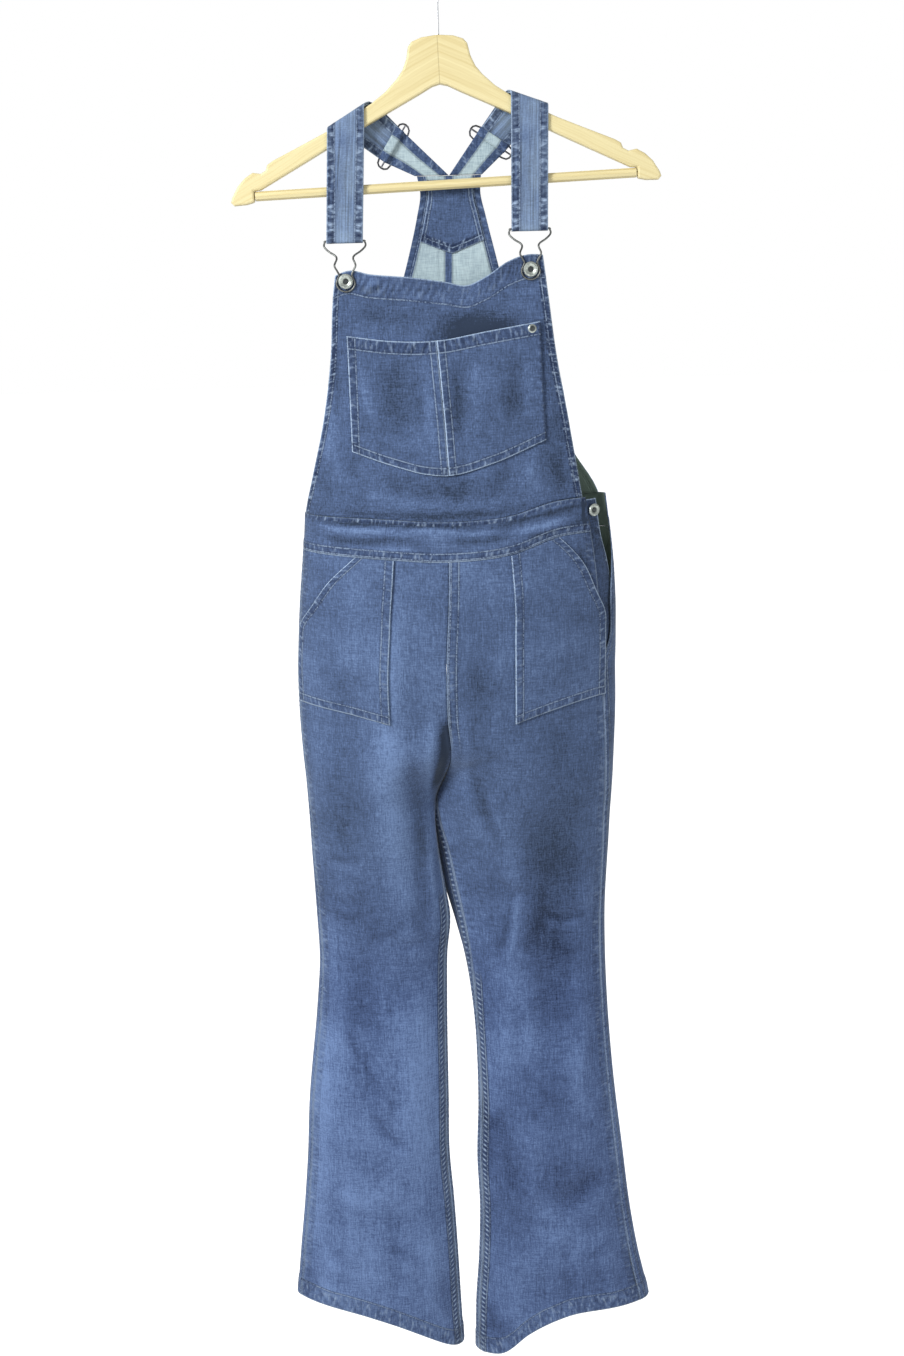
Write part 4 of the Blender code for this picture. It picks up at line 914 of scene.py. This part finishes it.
crotchAt = 0.29  # part of a leg panel's rows that lie above the crotch
seamKind = {"front": "under", "back": "felled"}
insideFinish = {"front": finishes["wrongSide"], "back": finishes["wrongDusk"]}
legCut = {"front": (250, 1090, 0.78), "back": (270, 1090, 0.8)}
for side in sideSign:
    for face in faceSign:
        rows = []
        for step in np.linspace(0, 1, cloth["legRows"]):
            above, below = min(step / crotchAt, 1), max((step - crotchAt) / (1 - crotchAt), 0)
            rows.append(walk(legRow(side, face, above, below), cloth["legColumns"], 0))
        rightKind = "felled" if side == "right" else seamKind[face]
        options = {
            "seams": {"left": (seamKind[face], 11), "right": (rightKind, 11), "low": ("hem", 25)},
            "folds": legFolds[face, side],
            "large": face,
            "wearAndShade": legWearAndLight(side, face),
            "paintedShades": legPaintedShades[face, side],
            "sewn": legSewn(side, face),
            "slack": 1.0,
            "seed": 7 + len(side) + 3 * len(face),
            "finish": (finishes["leg" + face.capitalize()], insideFinish[face]),
            "replaces": f"{face}_leg_{side}",
            "cut": legCut[face],
            "restsOn": [face + "_waistband"],
        }
        newCloth(f"{face}Leg{side.capitalize()}", rows, (0, faceSign[face], 0), options)
print("legs made")

# Waistbands

bandFolds = {
    "front": [
        (4.5, 1.6, -158, 573, -120, 583, -70, 579), (4.5, -1.6, -146, 594, -96, 598, -48, 592),
        (5, 1.7, -76, 588, -34, 584, 4, 590), (4, -1.2, -48, 601, -10, 605, 34, 600),
        (5, -1.6, 2, 584, 44, 579, 86, 584), (4.5, 1.6, 44, 595, 84, 588, 122, 579),
        (4, -1.5, 90, 573, 124, 569, 156, 575), (4.5, 1.2, 104, 587, 132, 583, 162, 580),
    ],
    "back": [
        (5, 1.5, -148, 580, -100, 587, -52, 583), (4.5, -1.4, -88, 598, -40, 594, 8, 599),
        (5, 1.4, -28, 584, 24, 580, 68, 586), (5, -1.3, 42, 592, 96, 584, 148, 578),
    ],
}
# Painted shade below the waistband's crease ridges and painted highlight on them, and a painted dark gap line
# at its right end
bandPaintedShades = {
    "front": [
        (2.6, -0.9, -166, 571, -120, 573, -60, 574, 0, 577, 50, 573),
        (3, 0.55, -150, 578, -100, 581, -52, 580), (3.4, -0.6, -150, 589, -104, 592, -60, 589, -26, 594),
        (3, 0.4, -128, 597, -70, 601, -20, 600), (3.2, 0.5, -60, 581, -20, 580, 20, 585, 60, 582),
        (3.4, -0.7, -8, 592, 30, 593, 76, 588), (2.8, -0.9, 40, 578, 84, 571, 124, 563, 160, 560),
        (3, 0.6, 52, 586, 98, 580, 136, 571), (3.2, -0.8, 66, 594, 104, 588, 140, 579, 166, 577),
        (3, 0.45, 104, 595, 134, 588, 168, 584), (1.7, -1.7, 143, 544, 144, 568, 145, 596),
        (6, -0.4, 152, 544, 153, 568, 154, 596),
    ],
    "back": [
        (3, -0.6, -150, 574, -80, 576, -10, 576, 60, 573), (4, 0.4, -120, 588, -60, 592, 10, 590),
        (4, -0.5, 20, 584, 80, 580, 140, 572),
    ],
}
for face in faceSign:
    rows = [walk(waistRow(face, v), 170, cloth["seamGap"]) for v in np.linspace(0, 1, 21)]
    options = {
        "seams": {"top": ("under", 11), "low": ("felled", 11)},
        "slack": 0.9,
        "finish": (finishes["band"], insideFinish[face]),
        "replaces": face + "_waistband",
        "paintedShades": bandPaintedShades[face],
        "folds": bandFolds[face],
        "cut": (372, 42, 0.93),
        "restsOn": [face + "_bib" if face == "front" else "back_bib_left"],
    }
    newCloth(face + "Waistband", rows, (0, faceSign[face], 0), options)

# Bib and its pocket

bibPocket = {
    "seam": (-11.0, -1.5),
    "left": (-105, -104),
    "right": (98, 103),
    "top": table("x drop", (-105, 377), (-60, 383), (-11, 384), (40, 376), (98, 367)),
    "low": table("x drop", (-105, 497), (-66, 511), (-1.5, 524), (50, 511), (103, 490)),
    "standOff": 2.2,
}
# Painted shade beside and below the pocket and above the waistband, with painted highlights on ridges
bibPaintedShades = [
    (13, -0.42, -104, 352, -64, 358, -20, 362), (6, 0.24, -60, 336, -20, 342, 10, 346),
    (9, -0.28, -92, 516, -40, 536, 10, 540, 70, 520), (6, 0.36, -110, 534, -50, 552, 10, 556, 70, 548),
    (3.4, -0.55, -150, 558, -90, 563, -20, 566, 50, 564, 110, 553),
    (9, 0.36, -124, 420, -128, 470, -138, 530), (6, -0.35, 112, 390, 116, 440, 122, 500),
    (7, -0.45, 108, 500, 118, 530, 126, 546), (6, 0.3, 84, 512, 92, 536, 96, 548),
    (5, -0.3, -118, 372, -119, 420, -122, 480),
]
bibFolds = [
    (7, -2.6, -14, 352, 18, 362, 56, 350, 84, 338), (6, 1.2, -16, 340, 14, 344, 44, 336),
    (6, -0.8, -104, 330, -70, 336, -30, 344), (6, 1.1, -130, 470, -124, 500, -120, 540),
    (6, -1.2, -112, 500, -96, 530, -92, 560), (6, -1.2, -66, 520, -54, 540, -50, 562),
    (5, 1.2, -30, 524, -12, 542, -2, 562), (5, -1.2, 20, 520, 14, 540, 4, 560),
    (6, -1.3, 70, 500, 58, 530, 36, 560), (6, 1.2, 96, 490, 88, 520, 70, 552),
    (6, -1.1, 112, 500, 118, 524, 122, 548), (5, 1.0, 124, 420, 120, 450, 126, 486),
    (5, -0.9, -118, 400, -116, 436, -124, 470),
]


def bibShading(x, drop, *edges):
    # Painted shadow in the hollow above the pocket and a painted highlight on the ridge over it;
    # lighter down the left edge and a little darker to the right
    above = read(bibPocket["top"], "drop", x) - drop
    hollow = -1.5 * ease((x + 30) / 50) * ease((98 - x) / 60) * bump(above, 2 - 0.05 * (x - 20), 15)
    ridge = 0.2 * ease((x + 30) / 40) * ease((90 - x) / 40) * bump(above, 29 - 0.05 * x, 7)
    return hollow + ridge + 0.1 * bump(x, -118, 14) - 0.05 * ease((x - 40) / 60)


rows = [walk(bibRow(v), 120, cloth["seamGap"]) for v in np.linspace(0, 1, 112)]
bibOptions = {
    "seams": {"left": ("felled", 6), "right": ("felled", 6), "top": ("hem", 25)},
    "folds": bibFolds,
    "wearAndShade": bibShading,
    "paintedShades": bibPaintedShades,
    "slack": 0.8,
    "seed": 31,
    "finish": (finishes["bib"], finishes["wrongSide"]),
    "replaces": "front_bib",
    "large": "bib",
    "cut": (335, 300, 0.66),
    "restsOn": ["clasp_left", "clasp_right"],
}
newCloth("frontBib", rows, (0, -1, 0), bibOptions)

# Painted shade in the pocket's soft folds and painted highlight on their ridges
pocketPaintedShades = {
    "left": [
        (18, -0.32, -64, 400, -52, 436, -44, 484), (6, 0.34, -90, 408, -88, 440, -76, 476),
        (5, 0.26, -24, 420, -22, 460, -20, 500), (6, -0.26, -86, 488, -50, 500, -20, 506),
    ],
    "right": [
        (6, -0.42, 8, 400, 10, 450, 10, 500), (9, 0.2, 36, 400, 32, 440, 40, 480),
        (12, -0.26, 64, 392, 62, 430, 70, 470), (6, 0.3, 84, 400, 86, 440, 84, 476),
    ],
}
pocketFolds = {
    "left": [
        (7, 1.1, -92, 400, -88, 430, -78, 470), (6, -1.1, -34, 400, -30, 440, -24, 490),
        (6, 0.9, -74, 470, -56, 490, -30, 502), (5, -0.8, -80, 392, -50, 398, -24, 394),
    ],
    "right": [
        (6, 1.1, 34, 396, 26, 440, 24, 480), (7, -1.1, 80, 390, 72, 430, 76, 470),
        (6, -1.0, 48, 430, 40, 470, 34, 500), (5, 0.8, 14, 392, 46, 394, 74, 386),
    ],
}
for side in sideSign:
    gap = sideSign[side] * cloth["seamGap"]
    f = np.linspace(0, 1, 46)
    topX, lowX = (mix(outer, seam + gap, f) for outer, seam in zip(bibPocket[side], bibPocket["seam"]))
    top = read(bibPocket["top"], "drop", topX)
    low = read(bibPocket["low"], "drop", lowX)
    rows = np.array([bibSkin(mix(topX, lowX, v), mix(top, low, v)) for v in np.linspace(0, 1, 64)])
    rows = rows + facingNormals(rows, (0, -1, 0)) * bibPocket["standOff"]
    options = {
        "seams": {"left": ("felled", 5), "right": ("felled", 8), "low": ("felled", 5), "top": ("hem", 12)},
        "slack": 0.5,
        "seed": 51 + len(side),
        "finish": (finishes["pocket" + side.capitalize()], finishes["wrongSide"]),
        "replaces": "bib_pocket_" + side,
        "large": "bib",
        "folds": pocketFolds[side],
        "paintedShades": pocketPaintedShades[side],
        "cut": (112, 148, 0.9),
        "restsOn": ["front_bib"],
        "slot": "denim_pocket",
    }
    newCloth("bibPocket" + side.capitalize(), rows, (0, -1, 0), options)

# Hip pockets

hipPocket = {
    "shape": table(
        "part outer inner",
        (0, 60, 103), (0.17, 34, 104), (0.34, 17, 104.5), (0.48, 4.5, 105), (0.6, 3.5, 105), (1, 4, 106),
    ),
    "low": {"left": (779, 797), "right": (777, 801)},
    "shift": {"left": 0, "right": 12},
    "waistReach": 178,
    "standOff": 2.3,
}
for side in sideSign:
    lowOuter, lowInner = hipPocket["low"][side]
    shift = hipPocket["shift"][side]
    f = np.linspace(0, 1, 61)
    rows = []
    for part in np.linspace(0, 1, 90):
        outer = read(hipPocket["shape"], "outer", part) + shift * ease(part / 0.5)
        inner = read(hipPocket["shape"], "inner", part) + shift
        topX = sideSign[side] * (hipPocket["waistReach"] - mix(outer, inner, f))
        top = read(waist["front"], "seam", topX) + 1
        drop = mix(top, mix(lowOuter, lowInner, f**2), part)
        turn = mix(turnAt(side, outer, drop), turnAt(side, inner, drop), f)
        rows.append(walk(section(side, "front", turn, drop), 50, 0))
    rows = np.array(rows)
    rows = rows + facingNormals(rows, (0, -1, 0)) * hipPocket["standOff"]
    options = {
        "seams": {edge: ("felled", 8) for edge in ("left", "right", "low")},
        "slack": 0.8,
        "seed": 71 + len(side),
        "finish": (finishes["hipPocket"], finishes["wrongSide"]),
        "large": "front",
        "folds": [fold for fold in legFolds["front", side] if fold[3] < 700],
        "replaces": "hip_pocket_" + side,
        "cut": (165, 200, 0.56),
        "restsOn": ["front_leg_" + side],
    }
    newCloth("hipPocket" + side.capitalize(), rows, (0, -1, 0), options)
print("bib and pockets made")

# Back bib and the facing inside it

for side in sideSign:
    rows = [walk(backBibRow(side, v), 50, 0) for v in np.linspace(0, 1, 130)]
    options = {
        "seams": {"left": ("hem", 8), "right": ("felled", 11)},
        "slack": 0.6,
        "seed": 91 + len(side),
        "finish": (finishes["bib"], finishes["wrongHemmed"]),
        "replaces": "back_bib_" + side,
        "cut": (175, 372, 0.46),
        "restsOn": ["strap_" + side],
    }
    newCloth("backBib" + side.capitalize(), rows, (0, 1, 0), options)
facing = {"top": 222, "low": 283, "dip": 13, "inset": 8, "standOff": 1.8}
rows = []
for v in np.linspace(0, 1, 40):
    f = np.linspace(0, 1, 44)
    drop = mix(facing["top"], facing["low"] + facing["dip"] * (1 - abs(2 * f - 1)), v)
    left = read(backBib, "left", drop) + facing["inset"]
    right = read(backBib, "right", drop) - facing["inset"]
    rows.append(backBibSkin(mix(left, right, f), drop))
rows = np.array(rows)
rows = rows - facingNormals(rows, (0, 1, 0)) * facing["standOff"]
options = {
    "seams": {"low": ("felled", 11)},
    "slack": 0.5,
    "finish": (finishes["dark"], finishes["facing"]),
    "replaces": "back_facing",
    "cut": (80, 76, 0.8),
    "restsOn": ["back_bib_left", "back_bib_right"],
    "slot": "denim_dark",
}
newCloth("backFacing", rows, (0, 1, 0), options)

# Placket at the open right side

placket = table(
    "drop under free",
    (556, 30, 11), (600, 27, 9.6), (620, 26.5, 6), (650, 26, 3), (700, 25, 2.6), (732, 23, 2),
)
placketDepth = {"under": 2.4, "free": 3.4}  # from the garment's skin inwards
f = np.linspace(0, 1, 26)
rows = []
for drop in np.linspace(placket["drop"][0], placket["drop"][-1], 90):
    under, free = read(placket, "under", drop), read(placket, "free", drop)
    turn = mix(turnAt("right", under, drop), turnAt("right", free, drop), f)
    rows.append(section("right", "front", turn, np.full(26, drop)))
rows = np.array(rows)
depth = mix(placketDepth["under"], placketDepth["free"], f)
rows = rows - facingNormals(rows, (1, -1, 0)) * depth[None, :, None]
options = {
    "seams": {"right": ("under", 11)},
    "slack": 0.5,
    "finish": (finishes["placket"], finishes["wrongSide"]),
    "replaces": "side_placket",
    "cut": (32, 176, 0.84),
    "restsOn": ["front_leg_right"],
    "slot": "denim_dark",
}
newCloth("sidePlacket", rows, (1, -1, 0), options)

# Straps: each one strip, from its tail round the slider's bar, over the arm, round the clasp and back

strap = {
    "width": 38.0,
    "wall": 1.2,
    "seam": 0.3,
    "woodHalf": 6.0,
    "woodEdge": 3.3,
    "claspWire": 1.0,
    "tail": 7.0,
    "rootDrop": 218,
    "rootStandOff": 1.2,
    "step": 2.6,  # between two rows of the strip
    "columns": 22,
    "left": {"x": -99.3, "top": -162.2, "slope": math.radians(29.6), "bottom": -283.5, "lean": 0.056,
             "slider": (-50.3, -188.8), "sliderTurn": math.radians(56.5), "root": (-29.0, 6.2),
             "drape": 18.0},
    "right": {"x": 91.5, "top": -148.2, "slope": math.radians(-19.0), "bottom": -276.0, "lean": 0.009,
              "slider": (51.0, -187.0), "sliderTurn": math.radians(-33.0), "root": (6.8, 41.0),
              "drape": 17.0},
}
innerLift = strap["wall"] / 2
outerLift = strap["wall"] * 1.5 + strap["seam"]
wrapHalf = strap["woodHalf"] + strap["seam"]
claspLoop = strap["claspWire"] + strap["seam"] + strap["wall"] / 2
claspY = -(wrapHalf + (innerLift + outerLift) / 2)


def overArm(own, w, run, lift):
    # Where a point lies that is w from the strap's middle and run above the fold's front line
    cos, sin = math.cos(own["slope"]), math.sin(own["slope"])
    along, height = w * cos + run * sin, run * cos - w * sin
    side = wrapHalf - strap["woodEdge"]
    corner = strap["woodEdge"] + lift
    quarter = math.pi / 2 * corner
    if height <= 0:
        y, rise = -(wrapHalf + lift), height
    elif height < quarter:
        y, rise = -side - corner * math.cos(height / corner), corner * math.sin(height / corner)
    elif height < quarter + 2 * side:
        y, rise = height - quarter - side, corner
    elif height < 2 * quarter + 2 * side:
        a = (height - quarter - 2 * side) / corner
        y, rise = side + corner * math.sin(a), corner * math.cos(a)
    else:
        y, rise = wrapHalf + lift, 2 * quarter + 2 * side - height
    x = own["x"] + strap["woodEdge"] * sin + along * cos - rise * sin + own["lean"] * min(run, 0)
    return (x, y, own["top"] - strap["woodEdge"] * cos + along * sin + rise * cos)


def strapRow(own, run, lift, shear=1.0):
    half, tan = strap["width"] / 2, math.tan(own["slope"])
    return np.array([overArm(own, w, run + w * tan * shear, lift) for w in (-half, half)])


def wrapRuns(own, lift):
    quarter = math.pi / 2 * (strap["woodEdge"] + lift)
    flat = 2 * (wrapHalf - strap["woodEdge"])
    heights = [quarter * k / 6 for k in range(7)] + [quarter + flat + quarter * k / 6 for k in range(7)]
    return [height / math.cos(own["slope"]) for height in heights + [2 * quarter + flat + 4]]


def strapPath(own):
    barZ = own["bottom"] + claspLoop + strap["wall"] / 2
    low = barZ - (own["top"] - strap["woodEdge"] * math.cos(own["slope"]))
    x, z = own["slider"]
    turn = own["sliderTurn"]
    across = np.array([math.cos(turn), 0, math.sin(turn)]) * own["drape"]
    down = np.array([math.sin(turn), 0, -math.cos(turn)])

    def sliderRow(lift):
        middle = np.array([x, wrapHalf + lift, z])
        return np.array([middle - across, middle + across])

    edge = sliderRow(innerLift)
    rows = [edge - down * back + np.array([0, -2 * claspLoop, 0]) for back in (strap["tail"], 0)]
    for a in np.radians((30, 60, 90, 120, 150)):
        rows.append(edge + down * claspLoop * math.sin(a) + np.array([0, -claspLoop * (1 + math.cos(a)), 0]))
    rows.append(edge)
    over = [strapRow(own, run, innerLift) for run in wrapRuns(own, innerLift)]
    rows.append(mix(edge, over[-1], 0.5))
    rows.extend(over[::-1])
    rows += [strapRow(own, -14, innerLift, 0.9), strapRow(own, low * 0.5, innerLift, 0.35)]
    rows.append(strapRow(own, low + 14, innerLift, 0))
    bottom = strapRow(own, low, innerLift, 0)
    bottom[:, 1] = claspY
    for a in np.radians(np.arange(0, 181, 22.5)):
        rows.append(bottom + np.array([0, claspLoop * math.cos(a), -claspLoop * math.sin(a)]))
    rows += [strapRow(own, low + 14, outerLift, 0), strapRow(own, low * 0.5, outerLift, 0.35)]
    rows.append(strapRow(own, -14, outerLift, 0.9))
    over = [strapRow(own, run, outerLift) for run in wrapRuns(own, outerLift)]
    rows.extend(over)
    edge = sliderRow(outerLift)
    rows += [mix(over[-1], edge, 0.5), edge]
    rootY = wrapHalf + outerLift + strap["rootStandOff"]
    root = np.array([(x, rootY, -strap["rootDrop"]) for x in own["root"]])
    rows += [mix(edge, root, t) for t in (0.33, 0.66, 1.0)]
    return np.array(rows)


for side in sideSign:
    path = strapPath(strap[side])
    middle = path.mean(axis=1)
    at = np.concatenate([[0], np.cumsum(np.linalg.norm(np.diff(middle, axis=0), axis=1))])
    # Every row of the path is kept, with more between those that lie far apart
    places = [at[0]]
    for a, b in zip(at, at[1:]):
        count = max(1, int(round((b - a) / strap["step"])))
        places.extend(a + (b - a) * np.arange(1, count + 1) / count)
    edges = [np.stack([np.interp(places, at, path[:, k, axis]) for axis in range(3)], axis=1) for k in (1, 0)]
    f = np.linspace(0, 1, strap["columns"])
    rows = edges[0][:, None] + (edges[1] - edges[0])[:, None] * f[None, :, None]
    options = {
        "seams": {"left": ("under", 11), "right": ("under", 11)},
        "slack": 0.0,
        "offset": 0,
        "wall": strap["wall"],
        "finish": (finishes["strap"], finishes["strapWrong"]),
        "replaces": "strap_" + side,
        "slot": "denim_strap",
        "cut": (38, 446, 1.0),
        "restsOn": ["hanger_wood"],
    }
    newCloth("strap" + side.capitalize(), rows, (0, 0, 0), options)
print("straps made")


# Clasps: a bent wire with two curled ends, a narrow neck and the ring round its button

def wireFinish(name, colour, stain):
    # Drawn wire: fine lines and spots where the plating has dulled
    finish, start, shader = newFinish(name)
    place = start.node("ShaderNodeTexCoord", output=3)
    spots, lines = place.noise(260.0, 4.0), place.noise(1.0, 2.0, (2600, 2600, 300))
    feed(shader, {
        "Base Color": ((spots - 0.5) * 1.8 + 0.4).clamped().tinted(colour, stain),
        "Roughness": (spots * 0.3 + lines * 0.2 + 0.18).clamped(),
        "Normal": (lines + spots).bumped(0.3, 0.0001),
        "Metallic": 1.0,
    })
    return finish


claspFinish = wireFinish("claspWire", srgb(122, 125, 122), srgb(70, 72, 74))
sliderFinish = wireFinish("sliderWire", srgb(104, 106, 112), srgb(58, 58, 64))
hookFinish = wireFinish("hookWire", srgb(232, 234, 236), srgb(196, 198, 202))


def newRing(name, path, radius, around):
    # A wire laid round a closed path
    along = np.roll(path, -1, axis=0) - np.roll(path, 1, axis=0)
    along = along / np.linalg.norm(along, axis=1, keepdims=True)
    side = np.cross(along, (0, 1, 0))
    side = side / np.linalg.norm(side, axis=1, keepdims=True)
    upright = np.cross(side, along)
    turns = np.linspace(0, 2 * math.pi, around + 1)[:, None]
    rings = path[:, None] + radius * (np.cos(turns) * side[:, None] + np.sin(turns) * upright[:, None])
    piece, row, column = newGrid(name, np.concatenate([rings, rings[:1]]), False)
    piece.data.update()
    editWhole(
        lambda: bpy.ops.mesh.remove_doubles(threshold=0.00001),
        lambda: bpy.ops.mesh.normals_make_consistent(inside=False),
    )
    bpy.ops.object.shade_smooth()
    return piece


clasp = {
    "wire": 1.0,
    "around": 14,
    "lean": 22.0,  # the height over which the wire leans out to the bib's face
    "leanFrom": 3.0,
    "ringBelow": 46.0,
    "standOff": 2.3,
    "outline": table(
        "drop half",
        (0, 17.5), (1.2, 20.8), (5.5, 21.5), (10.5, 16.5), (14.5, 10.2), (18, 8.6), (24.5, 11.0), (30, 8.4),
        (34, 6.6), (38, 8.2), (43, 9.6), (48, 7.0), (50.5, 2.4),
    ),
}


def roundedPath(corners, steps):
    # A smooth closed curve through the corners
    found = []
    for i in range(len(corners)):
        a, b, c, d = (corners[(i + k) % len(corners)] for k in (-1, 0, 1, 2))
        for t in np.arange(steps) / steps:
            bend, twist = 2 * a - 5 * b + 4 * c - d, 3 * b - a - 3 * c + d
            found.append(0.5 * (2 * b + (c - a) * t + bend * t**2 + twist * t**3))
    return np.array(found)


for side in sideSign:
    own = strap[side]
    barZ = own["bottom"] + claspLoop + strap["wall"] / 2
    baseZ = own["top"] - strap["woodEdge"] * math.cos(own["slope"])
    x = own["x"] + strap["woodEdge"] * math.sin(own["slope"]) + own["lean"] * (barZ - baseZ)
    ringY = bibSkin(x, clasp["ringBelow"] - barZ)[1] - clasp["standOff"]
    half = np.stack([clasp["outline"]["half"], clasp["outline"]["drop"]], axis=1)
    corners = np.concatenate([half, half[::-1] * (-1, 1)])
    loop = roundedPath(corners, 6)
    lean = np.clip(loop[:, 1] - clasp["leanFrom"], 0, clasp["lean"]) * (ringY - claspY) / clasp["lean"]
    path = np.stack([x + loop[:, 0], claspY + lean, barZ - loop[:, 1]], axis=1)
    ring = newRing("clasp" + side.capitalize(), path, clasp["wire"], clasp["around"])
    ring.data.materials.append(claspFinish)
    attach(ring, "root")
    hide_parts("clasp_" + side)
print("clasps made")


# Buttons, rivet, sliders, hook and hanger keep their CAD forms, with a finish of their own

button = {
    "hollow": 0.0031,
    "knurl": 0.0058,
    "soft": 0.0012,
    "plate": srgb(186, 193, 186),
    "dull": srgb(128, 136, 132),
    "grime": srgb(70, 76, 80),
    "dark": srgb(40, 44, 50),
}


def buttonFinish(name, node, facing):
    # A plated ring, worn bright on its rim and dark in its hollow middle
    finish, start, shader = newFinish(name)
    centre = tuple((a + b) / 2 for a, b in zip(*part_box(node)))
    place = start.node("ShaderNodeTexCoord", output=3)
    offset = start.node("ShaderNodeVectorMath", {"operation": "SUBTRACT"}, {0: place, 1: centre})
    along = start.node("ShaderNodeVectorMath", {"operation": "DOT_PRODUCT"}, {0: offset, 1: facing}, output=1)
    whole = start.node("ShaderNodeVectorMath", {"operation": "LENGTH"}, {0: offset}, output=1)
    square = whole * whole - along * along
    radius = whole.maths("SQRT", square.maths("MAXIMUM", square, 0.0))
    spots = place.noise(420.0, 4.0)
    colour = ((spots - 0.5) * 1.6 + 0.35).clamped().tinted(button["plate"], button["dull"])
    knurl = radius.near(button["knurl"], button["soft"]) * ((spots - 0.5) * 5.0 + 0.5).clamped()
    colour = (knurl * 0.5).clamped().tinted(colour, button["grime"])
    colour = (radius.below(button["hollow"], button["soft"]) * 0.9).tinted(colour, button["dark"])
    feed(shader, {"Base Color": colour, "Roughness": (spots * 0.4 + 0.2).clamped(), "Metallic": 0.75})
    return finish


# Blond wood: long grain along each arm, meeting at the mitre in the middle
wood = {
    "slope": math.radians(26),
    "tilt": math.radians(2.0),
    "head": (-0.002, 0, -0.09),
    "grain": (7, 430, 260),
    "pale": srgb(232, 219, 168),
    "warm": srgb(206, 186, 126),
    "mitre": srgb(168, 150, 104),
}


def woodFinish(name, straight):
    finish, start, shader = newFinish(name)
    place = start.node("ShaderNodeTexCoord", output=3)
    hung = {0: place, 1: wood["head"], 2: (0, -wood["tilt"], 0)}
    across, depth, rise = start.node("ShaderNodeMapping", {"vector_type": "TEXTURE"}, hung).parts()
    away = across.maths("ABSOLUTE", across)
    cos, sin = (1.0, 0.0) if straight else (math.cos(wood["slope"]), math.sin(wood["slope"]))
    along, over = away * cos - rise * sin, away * sin + rise * cos
    bent = along.joined(over, depth).noise(14.0)
    grain = wood["grain"]
    stretched = (along * grain[0]).joined(over * grain[1] + bent * 3.0, depth * grain[2])
    rings, pores = stretched.noise(1.0, 4.0), stretched.noise(7.0)
    broad = (along * 5.0).joined(over * 45.0, depth * 90.0).noise(1.0)
    tone = ((rings - 0.5) * 1.8 + (pores - 0.5) * 0.6 + (broad - 0.5) * 0.8 + 0.3).clamped()
    colour = tone.tinted(wood["pale"], wood["warm"])
    height = rings * 0.4 + pores * 0.3
    if not straight:
        joint = away.below(0.0004, 0.0005)
        colour = (joint * 0.6).tinted(colour, wood["mitre"])
        height = height - joint
    rough = pores * 0.2 + 0.4
    feed(shader, {"Base Color": colour, "Normal": height.bumped(0.25, 0.0002), "Roughness": rough})
    return finish


carried = {
    "hanger_wood": woodFinish("blondWood", False),
    "hanger_bar": woodFinish("blondBar", True),
    "hanger_hook": hookFinish,
}
for side in sideSign:
    carried["slider_frame_" + side] = carried["slider_bar_" + side] = sliderFinish
    node = "bib_button_" + side
    carried[node] = buttonFinish("bibButton" + side.capitalize(), node, (0, -1, 0))
carried["placket_button"] = buttonFinish("buttonButton", "placket_button", (0.5, -0.86, 0))
carried["bib_pocket_rivet"] = buttonFinish("buttonRivet", "bib_pocket_rivet", (0, -1, 0))
for name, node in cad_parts.items():
    for slot in node.material_slots if name in carried else ():
        slot.material = carried[name]
print("wood and metal finished")

# Stage, light and camera

bpy.ops.object.select_all(action="DESELECT")
bpy.ops.mesh.primitive_plane_add(size=30, location=(0, 5, -2.05))
floor = bpy.context.object
floor.name = "floor"
floorFinish, start, shader = newFinish("paleFloor")
feed(shader, {
    "Base Color": (0.9, 0.9, 0.9, 1), "Roughness": 0.9,
    "Emission Color": (1, 1, 1, 1), "Emission Strength": 0.75,
})
floor.data.materials.append(floorFinish)
floor.visible_diffuse = False

roomLight = 0.5  # the soft light from all round, behind a white backdrop
world = bpy.data.worlds.new("paleStudio")
bpy.context.scene.world = world
world.use_nodes = True
sky = Strand(world.node_tree)
seen = sky.node("ShaderNodeLightPath")
backdrop = {"Color": (1, 1, 1, 1), "Strength": seen * (1 - roomLight) + roomLight}
feed(world.node_tree.nodes["Background"], backdrop)


def softLight(name, place, target, size, power):
    bpy.ops.object.light_add(type="AREA", location=place)
    light = bpy.context.object
    light.name = name
    light.data.shape = "DISK"
    light.data.size = size
    light.data.energy = power
    light.rotation_euler = (Vector(target) - Vector(place)).to_track_quat("-Z", "Y").to_euler()
    return light


softLight("keyLight", (-1.9, -1.9, 0.7), (0, 0, -0.85), 1.1, 75)
softLight("fillLight", (1.9, -2.3, -0.4), (0, 0, -0.9), 1.8, 12)

# The photo's camera: a little over the hem, tilted down and turned a little on its axis
photoCamera = {
    "place": (-0.004, -1.54, -0.306),
    "pitch": math.radians(16.5),
    "roll": math.radians(1.5),
    "focal": 1400 / 1356,  # focal length over the picture's height
    "sensor": 36.0,
}
bpy.ops.object.camera_add(location=photoCamera["place"])
camera = bpy.context.object
forward = Vector((0, math.cos(photoCamera["pitch"]), -math.sin(photoCamera["pitch"])))
level = Vector((1, 0, 0))
upright = level.cross(forward)
right = level * math.cos(photoCamera["roll"]) - upright * math.sin(photoCamera["roll"])
up = upright * math.cos(photoCamera["roll"]) + level * math.sin(photoCamera["roll"])
turned = Matrix((right, up, -forward)).transposed()
camera.rotation_euler = turned.to_euler()
camera.data.sensor_width = photoCamera["sensor"]
camera.data.lens = photoCamera["focal"] * photoCamera["sensor"]
bpy.context.scene.camera = camera
bpy.context.scene.view_settings.view_transform = "Standard"
